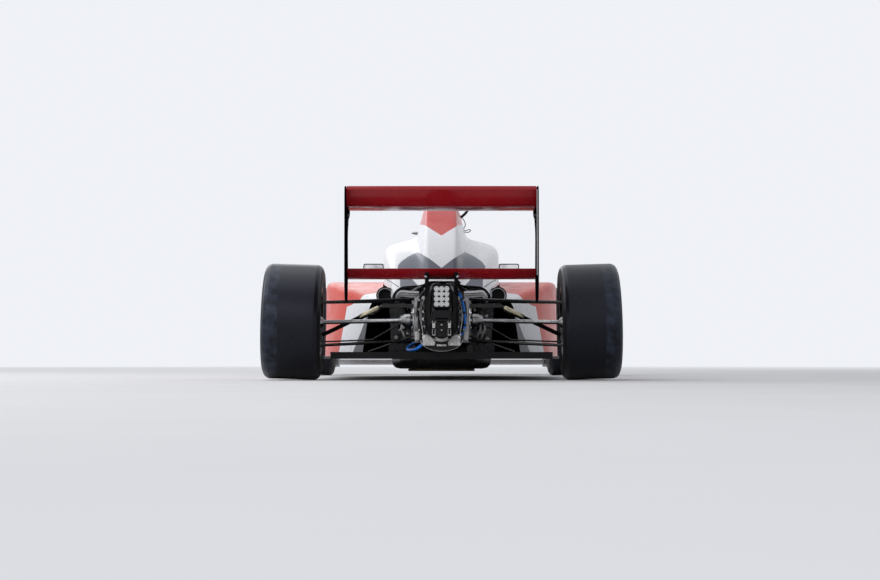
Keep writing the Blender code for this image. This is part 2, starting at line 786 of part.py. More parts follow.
def upright(axle, side):
    """The upright about the hub: a plate between the ball joints, with bearing, axle and caliper."""
    top = axle.upper_ball - EYE_HALF - GAP
    low = axle.lower_ball + EYE_HALF + GAP
    middle = -side * KINGPIN_OFFSET
    waist = UPRIGHT_WAIST
    outline = (
        (-UPRIGHT_HALF_WIDTH / 2, low),
        (UPRIGHT_HALF_WIDTH / 2, low),
        (waist, low / 3),
        (waist, top / 3),
        (UPRIGHT_HALF_WIDTH / 2, top),
        (-UPRIGHT_HALF_WIDTH / 2, top),
        (-waist, top / 3),
        (-waist, low / 3),
    )
    inner = middle - side * UPRIGHT_INNER_THICKNESS
    outer = middle + side * UPRIGHT_HALF_THICKNESS
    plate = plate_across_x(outline, inner, outer)
    bearing_end = HUB_SEAT - BELL_DEPTH - DISC_THICKNESS - RUNNING_GAP * 2
    bearing = revolve(
        [
            (-BEARING_START, 0),
            (-BEARING_START, BEARING_NOSE_RADIUS),
            (-BEARING_START + SKIN, BEARING_RADIUS),
            (bearing_end, BEARING_RADIUS),
            (bearing_end, 0),
        ],
        PIN_SIDES,
        side,
    )
    axle_pin = revolve(
        [
            (bearing_end - SKIN, 0),
            (bearing_end - SKIN, AXLE_RADIUS),
            (BORE_END - GAP, AXLE_RADIUS),
            (BORE_END - GAP, 0),
        ],
        PIN_SIDES,
        side,
    )
    lug_ends = sorted((outer - side * SKIN, outer + side * SKIN))
    lug = box(
        (lug_ends[0], waist - SKIN, EYE_HALF / 2),
        (lug_ends[1], CALIPER_OUTER - 2 * SKIN, EYE_HALF * 4),
    )
    adds = [tilted(bearing, axle, side), tilted(axle_pin, axle, side), tilted(caliper(side), axle, side)]
    return plate, adds, lug


def add_wheels():
    for end, axle in AXLES.items():
        for side in (-1, 1):
            place = hub_place(axle, side)
            tail = f"{end}_{side_name(side)}"
            node(f"tyre_{tail}", "tyre", tyre(axle, side), place=place)
            windows = [rim_window(axle, side, number) for number in range(SPOKES)]
            disc = brake_disc(side)
            node(f"wheel_{tail}", "rim", rim(axle, side), adds=[disc], cuts=windows, place=place)


def add_uprights():
    for end, axle in AXLES.items():
        for side in (-1, 1):
            plate, adds, lug = upright(axle, side)
            adds.append(lug)
            if end == "front":
                adds.extend(steering_arm(axle, side))
            hub = Matrix.Translation((side * axle.half_track, axle.y, hub_height(axle)))
            kind = "knuckle" if end == "front" else "upright"
            node(f"{kind}_{end}_{side_name(side)}", "casting", plate, adds=adds, place=hub)


# Steering


def track_rod_z():
    return hub_height(AXLES["front"]) - TRACK_ROD_DROP


def steering_arm(axle, side):
    """The knuckle's arm and its eye, under the end of the track rod."""
    pin = Vector((-side * KINGPIN_OFFSET, STEERING_ARM, 0))
    top = -TRACK_ROD_DROP - TRACK_ROD_RADIUS - GAP
    low = top - 2 * TRACK_ROD_RADIUS
    eye = rod((pin.x, pin.y, low), (pin.x, pin.y, top), ROD_EYE_RADIUS, PIN_SIDES)
    arm = box(
        (pin.x - EYE_HALF, 0, low + SKIN / 4),
        (pin.x + EYE_HALF, STEERING_ARM, top - SKIN / 4),
    )
    return [arm, eye]


def steering_rack():
    axle = AXLES["front"]
    half = axle.half_track - KINGPIN_OFFSET
    y = axle.y + STEERING_ARM
    z = track_rod_z()
    bar = tube((-half, y, z), (half, y, z), TRACK_ROD_RADIUS, TRACK_ROD_RADIUS)
    eyes = []
    for side in (-1, 1):
        x = side * half
        low = (x, y, z - TRACK_ROD_RADIUS)
        high = (x, y, z + TRACK_ROD_RADIUS)
        eyes.append(rod(low, high, ROD_EYE_RADIUS, PIN_SIDES))
    return bar, eyes


def steering_wheel():
    """A closed ring with a hub, two spokes and its column, in a frame whose -Y points at the driver."""
    profile = []
    for step in range(TUBE_SIDES):
        angle = math.tau * step / TUBE_SIDES
        profile.append(
            (
                STEERING_WHEEL_TUBE * math.cos(angle),
                STEERING_WHEEL_RADIUS - STEERING_WHEEL_TUBE + STEERING_WHEEL_TUBE * math.sin(angle),
            )
        )
    ring = revolve(profile, DISC_SIDES, ring=True)
    bmesh.ops.transform(ring, matrix=Matrix.Rotation(math.pi / 2, 4, "Z"), verts=ring.verts)
    reach = STEERING_WHEEL_RADIUS - STEERING_WHEEL_TUBE
    hub = box((-reach / 2, -SKIN, -reach / 2), (reach / 2, SKIN, reach / 2))
    spokes = box((-reach, -SKIN / 2, -EYE_RADIUS), (reach, SKIN / 2, EYE_RADIUS))
    column = rod((0, 0, 0), (0, DASHBOARD_AHEAD + OVERRUN, 0), COLUMN_RADIUS, PIN_SIDES)
    return ring, [hub, spokes, column]


def column_place():
    at = Matrix.Translation((0, COCKPIT_BACK_Y + STEERING_WHEEL_AHEAD, STEERING_WHEEL_Z))
    return at @ Matrix.Rotation(-COLUMN_TILT, 4, "X")


# Suspension


def ball(axle, height, side):
    x = side * (axle.half_track - KINGPIN_OFFSET)
    return Vector((x, axle.y, hub_height(axle) + height))


def arm_solids(end, level, side):
    """The two legs and the eye of a wishbone, the legs running on into what carries them."""
    axle = AXLES[end]
    arm = ARMS[end, level]
    pin = ball(axle, axle.upper_ball if level == "upper" else axle.lower_ball, side)
    eye = rod(pin - Vector((0, 0, EYE_HALF)), pin + Vector((0, 0, EYE_HALF)), EYE_RADIUS, PIN_SIDES)
    legs = []
    for ahead in (arm.lead, -arm.trail):
        inner = Vector((side * ARM_ROOT_HALF, axle.y + ahead, arm.root_z))
        legs.append(tube(pin, inner, ARM_HALF_WIDTH, ARM_HALF_THICKNESS))
    return eye, legs


def add_suspension():
    carriers = {"rear": gearbox_solid, "front": tub_solid}
    for end, axle in AXLES.items():
        for side in (-1, 1):
            for level in ("upper", "lower"):
                eye, legs = arm_solids(end, level, side)
                name = f"{end}_{level}_wishbone_{side_name(side)}"
                node(name, "carbon", eye, adds=legs, cuts=[swollen(carriers[end]())])
    for side in (-1, 1):
        add_pushrods(side)
        add_drive_shaft(side)


def add_pushrods(side):
    for end, pushrod in PUSHRODS.items():
        y = AXLES[end].y + pushrod.ahead
        foot = (side * pushrod.foot_half, y, pushrod.foot_z)
        top = (side * pushrod.top_half, y, pushrod.top_z)
        _, legs = arm_solids(end, "lower", side)
        cuts = [swollen(leg) for leg in legs]
        cuts.append(swollen(tub_solid() if end == "front" else gearbox_solid()))
        rockers = [rocker(side)] if end == "rear" else []
        name = f"{end}_pushrod_{side_name(side)}"
        node(name, "carbon", rod(foot, top, PUSHROD_RADIUS), adds=rockers, cuts=cuts)


def rocker(side):
    """The bell crank that joins the rear pushrod to the gearbox's top edge."""
    z = REAR_PUSHROD_TOP_Z
    y = REAR_Y + REAR_PUSHROD_AHEAD
    inner = side * GEARBOX_HALF / 2
    outer = side * (REAR_PUSHROD_TOP_HALF + PUSHROD_RADIUS)
    corners = (
        (outer, y - PUSHROD_RADIUS, 0),
        (outer, y + PUSHROD_RADIUS, 0),
        (inner, y + 4 * PUSHROD_RADIUS, 0),
        (inner, y - 4 * PUSHROD_RADIUS, 0),
    )
    return plate_level(rounded(corners), z - ROCKER_HALF_THICKNESS, z + ROCKER_HALF_THICKNESS)


def shaft_ends(side):
    """The shaft's ends at the gearbox's side and at the upright's bearing."""
    axle = AXLES["rear"]
    inner = Vector((side * OUTPUT_HALF, REAR_Y, OUTPUT_Z))
    hub = hub_place(axle, side)
    face = hub @ Vector((-side * BEARING_START, 0, 0))
    lean = (face - inner).angle(hub.to_3x3() @ Vector((side, 0, 0)))
    outer = hub @ Vector((-side * (BEARING_START + GAP + DRIVE_SHAFT_RADIUS * math.tan(lean)), 0, 0))
    return inner, outer


def add_drive_shaft(side):
    """A shaft with a boot at each end, turned about its own axis."""
    inner, outer = shaft_ends(side)
    inner = inner + (outer - inner).normalized() * GAP
    length = (outer - inner).length
    boot_end = length - OUTER_BOOT_INSET
    boot_start = boot_end - OUTER_BOOT_LENGTH
    profile = [
        (0, 0),
        (0, JOINT_BOOT_RADIUS),
        (JOINT_BOOT_STRAIGHT, JOINT_BOOT_RADIUS),
        (JOINT_BOOT_LENGTH, DRIVE_SHAFT_RADIUS),
        (boot_start - OUTER_BOOT_TAPER, DRIVE_SHAFT_RADIUS),
        (boot_start, OUTER_BOOT_RADIUS),
        (boot_end, OUTER_BOOT_RADIUS),
        (boot_end, DRIVE_SHAFT_RADIUS),
        (length, DRIVE_SHAFT_RADIUS),
        (length, 0),
    ]
    turn = Vector((1, 0, 0)).rotation_difference(outer - inner).to_matrix().to_4x4()
    place = Matrix.Translation(inner) @ turn
    node(f"drive_shaft_{side_name(side)}", "steel", revolve(profile, PIN_SIDES), place=place)


# Body


def tub_rings():
    rings = []
    for along, low_half, high_half, bottom, top in TUB_SHARES:
        low = mixed(TUB_BASE_Z, TUB_TOP_Z, bottom)
        high = mixed(TUB_BASE_Z, TUB_TOP_Z, top)
        corners = (
            (-TUB_HALF * low_half, low, TUB_CORNER),
            (TUB_HALF * low_half, low, TUB_CORNER),
            (TUB_HALF * high_half, high, TUB_CORNER),
            (-TUB_HALF * high_half, high, TUB_CORNER),
        )
        rings.append(across(mixed(TUB_BACK_Y, TUB_FRONT_Y, along), rounded(corners)))
    return rings


def tub_solid():
    return loft(tub_rings())


def cockpit_solid():
    """The space of the cockpit, narrower at its front and open at the top."""
    front = COCKPIT_BACK_Y + COCKPIT_LENGTH
    back_half = COCKPIT_HALF * COCKPIT_BACK_SHARE
    front_half = COCKPIT_HALF * COCKPIT_FRONT_SHARE
    widest = mixed(COCKPIT_BACK_Y, front, COCKPIT_WIDEST_SHARE)
    corner = TUB_CORNER
    outline = rounded(
        (
            (-back_half, COCKPIT_BACK_Y, corner),
            (back_half, COCKPIT_BACK_Y, corner),
            (COCKPIT_HALF, widest, corner),
            (front_half, front, corner),
            (-front_half, front, corner),
            (-COCKPIT_HALF, widest, corner),
        )
    )
    return plate_level(outline, COCKPIT_FLOOR_Z, TUB_TOP_Z + OVERRUN)


def footwell_solid():
    """The tunnel for the legs, from the cockpit to the pedals."""
    start = COCKPIT_BACK_Y + COCKPIT_LENGTH - 2 * OVERRUN
    near = COCKPIT_HALF * COCKPIT_FRONT_SHARE - SKIN
    rings = []
    for y, half, low, high in (
        (start, near, COCKPIT_FLOOR_Z + SKIN, FOOTWELL_HIGH_Z + OVERRUN),
        (FRONT_Y + FOOTWELL_REACH, FOOTWELL_HALF, FOOTWELL_LOW_Z, FOOTWELL_HIGH_Z),
    ):
        corners = (
            (-half, low, TUB_CORNER / 2),
            (half, low, TUB_CORNER / 2),
            (half, high, TUB_CORNER / 2),
            (-half, high, TUB_CORNER / 2),
        )
        rings.append(across(y, rounded(corners)))
    return loft(rings)


def add_tub():
    y = FRONT_Y + STEERING_ARM
    z = track_rod_z()
    reach = TUB_HALF + OVERRUN
    rack_hole = rod((-reach, y, z), (reach, y, z), TRACK_ROD_RADIUS + RUNNING_GAP, PIN_SIDES)
    panel, column_hole = dashboard_solids()
    cuts = [cockpit_solid(), footwell_solid(), rack_hole]
    tub = node("tub", "white paint", tub_solid(), cuts=cuts)
    combine(tub, "UNION", panel)
    combine(tub, "DIFFERENCE", column_hole)


def nose_solid():
    _, _, high_half, bottom, top = TUB_SHARES[-1]
    base = mixed(TUB_BASE_Z, TUB_TOP_Z, bottom)
    height = (TUB_TOP_Z - TUB_BASE_Z) * (top - bottom)
    rings = []
    for along, half_share, low_share, high_share in NOSE_SHARES:
        half = TUB_HALF * high_half * half_share
        low = base + height * low_share
        high = base + height * high_share
        cut = min(TUB_CORNER, half * NOSE_CORNER_SHARE, (high - low) * NOSE_CORNER_SHARE)
        base_half = half * NOSE_BASE_SHARE
        corners = (
            (-base_half, low, cut),
            (base_half, low, cut),
            (half, high, cut),
            (-half, high, cut),
        )
        rings.append(across(mixed(TUB_FRONT_Y + GAP, TIP_Y - NOSE_SHORT, along), rounded(corners)))
    return loft(rings)


def hoop_outline(wall):
    """The main hoop's outline, drawn in by a wall."""
    low = TUB_TOP_Z + GAP
    foot = HOOP_FOOT_HALF - wall
    top = HOOP_TOP_HALF - wall
    return rounded(
        (
            (-foot, low, HOOP_CORNER / 3),
            (foot, low, HOOP_CORNER / 3),
            (top, HOOP_TOP_Z - wall, HOOP_CORNER),
            (-top, HOOP_TOP_Z - wall, HOOP_CORNER),
        )
    )


def add_roll_hoop():
    """The main hoop behind the driver's head, a tower with the engine's air intake through its top."""
    back = TUB_BACK_Y
    rings = [across(back, hoop_outline(0)), across(back + HOOP_LENGTH, hoop_outline(SKIN))]
    top = HOOP_TOP_HALF - INTAKE_WALL
    foot = top * INTAKE_FOOT_SHARE
    low = mixed(TUB_TOP_Z, HOOP_TOP_Z, INTAKE_SILL_SHARE)
    high = HOOP_TOP_Z - INTAKE_WALL - SKIN
    cut = min(INTAKE_CORNER, (high - low) / 3)
    intake = rounded(((-foot, low, cut), (foot, low, cut), (top, high, cut), (-top, high, cut)))
    hole = loft([across(back - OVERRUN, intake), across(back + HOOP_LENGTH + OVERRUN, intake)])
    node("roll_hoop", "red paint", loft(rings), cuts=[hole])


def cover_rings():
    """The engine cover's skin: an arch, its outer line out and its inner line back."""
    rings = []
    for along, hem, hem_z, shoulder, shoulder_z, foot, foot_z, top, top_z in COVER_SHARES:
        half = (
            (COVER_HALF * hem, HOOP_TOP_Z * hem_z, 0),
            (COVER_HALF * shoulder, HOOP_TOP_Z * shoulder_z, COVER_SHOULDER_CUT),
            (COVER_HALF * foot, HOOP_TOP_Z * foot_z, COVER_EDGE_CUT),
            (COVER_HALF * top, HOOP_TOP_Z * top_z, COVER_EDGE_CUT),
        )
        whole = half + tuple((-x, z, cut) for x, z, cut in reversed(half))
        outer = rounded(whole, closed=False)
        inner = offset(outer, SKIN)
        rings.append(across(mixed(TUB_BACK_Y - GAP, COVER_BACK_Y, along), outer + inner[::-1]))
    return rings


def pod_rings(side):
    """A sidepod's skin: its top, its rounded edge and its side down to the floor."""
    rings = []
    for along, inner_half, edge_half, foot_half, top in POD_SHARES:
        high = POD_TOP_Z * top
        corners = (
            (side * COVER_HALF * inner_half, high, 0),
            (side * POD_HALF * edge_half, high, POD_CORNER),
            (side * POD_HALF * foot_half, FLOOR_TOP_Z + GAP, 0),
        )
        outer = rounded(corners, closed=False)
        inner = offset(outer, -side * SKIN)
        inner[-1].y = outer[-1].y
        ahead = mixed(POD_BACK_AHEAD, POD_FRONT_AHEAD, along)
        rings.append(across(REAR_Y + ahead, outer + inner[::-1]))
    return rings


def floor_solid():
    """The stepped floor: a wide plate over a keel, drawn in between the rear wheels."""
    rings = []
    for y, half, thickness, keel_share, depth_share in FLOOR_STATIONS:
        keel = KEEL_HALF * keel_share
        low = FLOOR_STEP_Z - (FLOOR_STEP_Z - KEEL_Z) * depth_share
        corner = min(KEEL_CORNER, (FLOOR_STEP_Z - low) * KEEL_CORNER_SHARE)
        base = FLOOR_STEP_Z
        corners = (
            (half, base + thickness, 0),
            (-half, base + thickness, 0),
            (-half, base, 0),
            (-keel - GAP, base, 0),
            (-keel, low, corner),
            (keel, low, corner),
            (keel + GAP, base, 0),
            (half, base, 0),
        )
        rings.append(across(y, rounded(corners)))
    return loft(rings)


def add_plank():
    back = REAR_Y + PLANK_AHEAD
    front = FLOOR_FRONT_Y - PLANK_SHORT
    low = KEEL_Z - GAP - PLANK_THICKNESS
    solid = box((-PLANK_HALF, back, low), (PLANK_HALF, front, KEEL_Z - GAP))
    node("skid_plank", "wood", solid)


def radiator(side):
    """A core across the sidepod's inside, leaning back at its outer end."""
    y = REAR_Y + RADIATOR_AHEAD
    inner = COVER_HALF + RADIATOR_CLEARANCE
    outline = (
        (side * inner, y),
        (side * RADIATOR_OUTER, y - RADIATOR_LEAN),
        (side * RADIATOR_OUTER, y - RADIATOR_LEAN + RADIATOR_THICKNESS),
        (side * inner, y + RADIATOR_THICKNESS),
    )
    return plate_level(outline, FLOOR_TOP_Z + GAP, RADIATOR_TOP_Z)


def engine_solid():
    low = (-ENGINE_HALF, GEARBOX_FRONT_Y, FLOOR_TOP_Z + GAP)
    return box(low, (ENGINE_HALF, TUB_BACK_Y - GAP, ENGINE_TOP_Z))


def gearbox_solid():
    rings = []
    front = GEARBOX_FRONT_Y - GAP
    for along, half_share, low_share, high_share in GEARBOX_SHARES:
        half = GEARBOX_HALF * half_share
        low = mixed(GEARBOX_LOW_Z, GEARBOX_TOP_Z, low_share)
        high = mixed(GEARBOX_LOW_Z, GEARBOX_TOP_Z, high_share)
        corners = (
            (-half, low, GEARBOX_CORNER),
            (half, low, GEARBOX_CORNER),
            (half, high, GEARBOX_CORNER),
            (-half, high, GEARBOX_CORNER),
        )
        rings.append(across(mixed(front, GEARBOX_BACK_Y, along), rounded(corners)))
    return loft(rings)


def add_gearbox():
    outputs = []
    for side in (-1, 1):
        inner, outer = shaft_ends(side)
        start = inner - (outer - inner).normalized() * OVERRUN
        outputs.append(rod(start, inner, JOINT_BOOT_RADIUS, PIN_SIDES))
    node("gearbox", "casting", gearbox_solid(), adds=outputs + [hose(LOW_HOSE, LOW_HOSE_RADIUS)])


def crash_solid():
    start = GEARBOX_BACK_Y - GAP
    rings = []
    for y, half, low in (
        (start, CRASH_HALF, CRASH_LOW_Z),
        (start - CRASH_STRAIGHT, CRASH_HALF, CRASH_LOW_Z),
        (CRASH_BACK_Y, CRASH_TAIL_HALF, CRASH_TAIL_LOW_Z),
    ):
        cut = GEARBOX_CORNER / 2
        corners = ((-half, low, cut), (half, low, cut), (half, CRASH_TOP_Z, cut), (-half, CRASH_TOP_Z, cut))
        rings.append(across(y, rounded(corners)))
    return loft(rings)


# Wings


def plane_outline(plane, back_y):
    """The section of a wing plane as (y, z) points, its trailing edge at back_y."""
    upper = []
    lower = []
    for step in range(PLANE_STEPS + 1):
        along = (1 - math.cos(math.pi * step / PLANE_STEPS)) / 2
        bulge = math.sqrt(along) * (1 - along) * BULGE_SHARE
        arch = 4 * along * (1 - along) * plane.camber_share * plane.chord
        half = plane.thickness_share * plane.chord / 2 * bulge
        edge = EDGE_THICKNESS if step else 0
        upper.append((along * plane.chord, half - arch + edge))
        lower.append((along * plane.chord, -half - arch - edge))
    outline = upper + lower[:0:-1]
    points = []
    cos, sin = math.cos(plane.angle), math.sin(plane.angle)
    for chordwise, height in outline:
        behind = plane.chord - chordwise
        points.append(
            (back_y + behind * cos - height * sin, plane.z - behind * sin + height * cos)
        )
    return points


def endplate_outline(shares, back, front, low, high, cut):
    """The rounded outline of a plate from shares of its length and of its height."""
    return rounded([(mixed(back, front, along), mixed(low, high, up), cut) for along, up in shares])


def rear_endplate(side):
    front = TAIL_Y + ENDPLATE_CHORD
    outline = endplate_outline(
        ENDPLATE_SHARES, TAIL_Y, front, ENDPLATE_LOW_Z, ENDPLATE_TOP_Z, ENDPLATE_CORNER
    )
    return plate_across_x(outline, side * WING_HALF, side * (WING_HALF + ENDPLATE_THICKNESS))


def support_outline():
    """A rear wing support: from the crash structure's side up to the beam wing."""
    start = GEARBOX_BACK_Y - SKIN
    top_back = TAIL_Y + BEAM_PLANE.back + SUPPORT_SETBACK
    return (
        (start - CRASH_STRAIGHT + SKIN, CRASH_LOW_Z + 2 * SKIN),
        (start, CRASH_LOW_Z + 2 * SKIN),
        (start, CRASH_TOP_Z - 2 * SKIN),
        (top_back + BEAM_PLANE.chord * SUPPORT_CHORD_SHARE, BEAM_PLANE.z),
        (top_back, BEAM_PLANE.z),
        (start - CRASH_STRAIGHT + SKIN, CRASH_TOP_Z - 5 * SKIN),
    )


def add_rear_wing():
    half = WING_HALF - GAP
    planes = {"rear_wing_main": REAR_MAIN, "rear_wing_flap": REAR_FLAP, "beam_wing": BEAM_PLANE}
    for name, plane in planes.items():
        outline = plane_outline(plane, TAIL_Y + plane.back)
        node(name, "wing paint", plate_across_x(outline, -half, half))
    supports = []
    for side in (-1, 1):
        node(f"rear_endplate_{side_name(side)}", "carbon", rear_endplate(side))
        inner = side * (CRASH_HALF - SKIN / 2)
        supports.append(plate_across_x(support_outline(), inner, side * (CRASH_HALF + SUPPORT_THICKNESS)))
    beam = plate_across_x(plane_outline(BEAM_PLANE, TAIL_Y + BEAM_PLANE.back), -half, half)
    node("crash_structure", "carbon", crash_solid(), adds=supports, cuts=[swollen(beam)])


def add_front_wing():
    half = FRONT_WING_HALF - ENDPLATE_THICKNESS - GAP
    back = TIP_Y - FRONT_MAIN.back
    main = plate_across_x(plane_outline(FRONT_MAIN, back), -half, half)
    pylons = []
    for side in (-1, 1):
        middle = back + FRONT_MAIN.chord / 2
        outline = (
            (middle - PYLON_CHORD / 2, FRONT_MAIN.z - SKIN),
            (middle + PYLON_CHORD / 2, FRONT_MAIN.z - SKIN),
            (middle + PYLON_CHORD / 2 - SKIN, TUB_TOP_Z / 2),
            (middle - PYLON_CHORD / 2 - SKIN, TUB_TOP_Z / 2),
        )
        inner = side * (PYLON_HALF - PYLON_THICKNESS / 2)
        pylons.append(plate_across_x(outline, inner, side * (PYLON_HALF + PYLON_THICKNESS / 2)))
    node("front_wing_main", "white paint", main, adds=pylons, cuts=[swollen(nose_solid()), nose_shadow()])
    for side in (-1, 1):
        flap = plate_across_x(
            plane_outline(FRONT_FLAP, TIP_Y - FRONT_FLAP.back), side * FRONT_FLAP_INNER, side * half
        )
        node(f"front_wing_flap_{side_name(side)}", "red paint", flap)
        node(f"front_endplate_{side_name(side)}", "carbon", front_endplate(side))


def nose_shadow():
    """All that lies above the middle of the nose, where a pylon may not reach."""
    middle = mixed(TUB_BASE_Z, TUB_TOP_Z, TUB_SHARES[-1][3]) + 4 * SKIN
    return box((-TUB_HALF, TUB_FRONT_Y, middle), (TUB_HALF, TIP_Y, TUB_TOP_Z))


def front_endplate(side):
    back = TIP_Y - FRONT_ENDPLATE_LENGTH
    low, high = FRONT_ENDPLATE_LOW_Z, FRONT_ENDPLATE_TOP_Z
    outline = endplate_outline(
        FRONT_ENDPLATE_SHARES, back, TIP_Y, low, high, FRONT_ENDPLATE_CORNER
    )
    inner = FRONT_WING_HALF - ENDPLATE_THICKNESS
    return plate_across_x(outline, side * inner, side * FRONT_WING_HALF)


# Cockpit and fittings


def add_cockpit():
    back = COCKPIT_BACK_Y
    front = COCKPIT_BACK_Y + COCKPIT_LENGTH
    low = COCKPIT_FLOOR_Z
    lap = mixed(back, front, SEAT_LAP_SHARE)
    seat = plate_across_x(
        (
            (back, low),
            (lap, low),
            (lap, low + SEAT_LIP),
            (mixed(back, front, SEAT_BEND_SHARE), low + SEAT_THICKNESS),
            (back + SEAT_THICKNESS, TUB_TOP_Z - HEADREST_HEIGHT - 2 * SKIN),
            (back, TUB_TOP_Z - HEADREST_HEIGHT - 2 * SKIN),
        ),
        -COCKPIT_HALF,
        COCKPIT_HALF,
    )
    node("seat", "seat", seat, keeps=[swollen(cockpit_solid(), -GAP)])
    add_headrest()
    add_steering_wheel()
    add_windscreen()


def add_headrest():
    """A collar round the back and the sides of the driver's head."""
    back = COCKPIT_BACK_Y
    front = back + HEADREST_LENGTH
    wall = HEADREST_THICKNESS
    inner = COCKPIT_HALF - wall
    outline = (
        (-COCKPIT_HALF, back),
        (COCKPIT_HALF, back),
        (COCKPIT_HALF, front),
        (inner, front),
        (inner - SKIN, back + wall),
        (-inner + SKIN, back + wall),
        (-inner, front),
        (-COCKPIT_HALF, front),
    )
    collar = plate_level(outline, TUB_TOP_Z - HEADREST_HEIGHT, TUB_TOP_Z - SKIN)
    node("headrest", "seat", collar, keeps=[swollen(cockpit_solid(), -GAP)])


def dashboard_solids():
    """The panel across the cockpit that carries the steering column, and the column's hole."""
    y = COCKPIT_BACK_Y + STEERING_WHEEL_AHEAD + DASHBOARD_AHEAD
    panel = box(
        (-COCKPIT_HALF, y, DASHBOARD_LOW_Z),
        (COCKPIT_HALF, y + DASHBOARD_THICKNESS, DASHBOARD_TOP_Z),
    )
    reach = DASHBOARD_AHEAD + 3 * OVERRUN
    column = rod((0, 0, 0), (0, reach, 0), COLUMN_RADIUS + 2 * GAP, PIN_SIDES)
    bmesh.ops.transform(column, matrix=column_place(), verts=column.verts)
    return panel, column


def add_steering_wheel():
    ring, adds = steering_wheel()
    node("steering_wheel", "seat", ring, adds=adds, place=column_place())


def tub_top(y):
    """Height of the tub's top at a place along it."""
    along = (y - TUB_BACK_Y) / (TUB_FRONT_Y - TUB_BACK_Y)
    for first, second in zip(TUB_SHARES, TUB_SHARES[1:]):
        if first[0] <= along <= second[0]:
            share = mixed(first[4], second[4], (along - first[0]) / (second[0] - first[0]))
            return mixed(TUB_BASE_Z, TUB_TOP_Z, share)
    return TUB_TOP_Z


def add_windscreen():
    """A low curved screen round the front of the cockpit's rim, leaning back."""
    middle = COCKPIT_BACK_Y + COCKPIT_LENGTH - SCREEN_BACK
    rings = []
    for step in range(SCREEN_STEPS + 1):
        angle = mixed(-SCREEN_HALF_TURN, SCREEN_HALF_TURN, step / SCREEN_STEPS)
        out = Vector((math.sin(angle), math.cos(angle), 0))
        foot = Vector((out.x * SCREEN_FOOT_HALF, middle + out.y * SCREEN_FOOT_REACH, 0))
        top = Vector((out.x * SCREEN_TOP_HALF, middle + out.y * SCREEN_TOP_REACH, 0))
        rim = tub_top(foot.y)
        foot.z = rim - 2 * SKIN
        top.z = rim + SCREEN_HEIGHT * mixed(SCREEN_END_SHARE, 1, out.y)
        thick = out * SCREEN_THICKNESS
        rings.append([foot, top, top + thick, foot + thick])
    node("windscreen", "glass", loft(rings), cuts=[swollen(tub_solid())])


def mirror(side):
    """A mirror's housing, drawn in towards its front, and its stem down to the tub's shoulder."""
    back = REAR_Y + MIRROR_AHEAD
    y = back + MIRROR_DEPTH / 2
    low = tub_top(y) + MIRROR_RISE
    high = low + MIRROR_HEIGHT
    rings = []
    for along, shrink in ((0, 0), (MIRROR_BEND_SHARE, SKIN / 2), (1, SKIN)):
        corners = (
            (side * (MIRROR_INNER + shrink), low + shrink, MIRROR_CORNER),
            (side * (MIRROR_OUTER - shrink), low + shrink, MIRROR_CORNER),
            (side * (MIRROR_OUTER - shrink), high - shrink, MIRROR_CORNER),
            (side * (MIRROR_INNER + shrink), high - shrink, MIRROR_CORNER),
        )
        rings.append(across(back + MIRROR_DEPTH * along, rounded(corners)))
    start = (side * (MIRROR_INNER + MIRROR_STEM_INSET), y, low + MIRROR_HEIGHT / 2)
    end = (side * TUB_HALF * MIRROR_FOOT_SHARE, y, tub_top(y) - MIRROR_FOOT_DEPTH)
    return loft(rings), rod(start, end, MIRROR_STEM)


def outlet(side):
    neck = OUTLET_RADIUS * OUTLET_NECK_SHARE
    profile = [
        (0, OUTLET_RADIUS),
        (OUTLET_LENGTH, neck),
        (OUTLET_LENGTH, neck - OUTLET_WALL),
        (0, OUTLET_RADIUS - OUTLET_WALL),
    ]
    solid = revolve(profile, DISC_SIDES, ring=True)
    bmesh.ops.transform(solid, matrix=Matrix.Rotation(math.pi / 2, 4, "Z"), verts=solid.verts)
    return solid, Matrix.Translation((side * OUTLET_HALF, REAR_Y + OUTLET_AHEAD, OUTLET_Z))


def outlet_space(side):
    """All that an outlet pipe takes up, as a cutter for the panels round it."""
    neck = OUTLET_RADIUS * OUTLET_NECK_SHARE
    profile = [(0, 0), (0, OUTLET_RADIUS), (OUTLET_LENGTH, neck), (OUTLET_LENGTH, 0)]
    solid = revolve(profile, DISC_SIDES)
    _, place = outlet(side)
    turned = place @ Matrix.Rotation(math.pi / 2, 4, "Z")
    bmesh.ops.transform(solid, matrix=turned, verts=solid.verts)
    return swollen(solid)


# Hoses


def curve_through(points):
    """More points, on a smooth curve through a route's own ones."""
    places = [Vector((half, REAR_Y + ahead, z)) for half, ahead, z in points]
    made = []
    for index, (here, after) in enumerate(zip(places, places[1:])):
        before = places[max(index - 1, 0)]
        later = places[min(index + 2, len(places) - 1)]
        for step in range(HOSE_STEPS):
            t = step / HOSE_STEPS
            bend = (after - before) * (t - 2 * t**2 + t**3) + (later - here) * (t**3 - t**2)
            made.append(here.lerp(after, t * t * (3 - 2 * t)) + bend / 2)
    return made + [places[-1]]


def hose(route, radius):
    """A closed tube along a route."""
    points = curve_through(route)
    wide = Vector((1, 0, 0))
    rings = []
    for index, here in enumerate(points):
        ahead = points[min(index + 1, len(points) - 1)] - points[max(index - 1, 0)]
        ahead.normalize()
        wide = (wide - ahead * wide.dot(ahead)).normalized()
        thick = wide.cross(ahead)
        turns = [math.tau * step / HOSE_SIDES for step in range(HOSE_SIDES)]
        rings.append([here + (wide * math.cos(a) + thick * math.sin(a)) * radius for a in turns])
    return loft(rings)


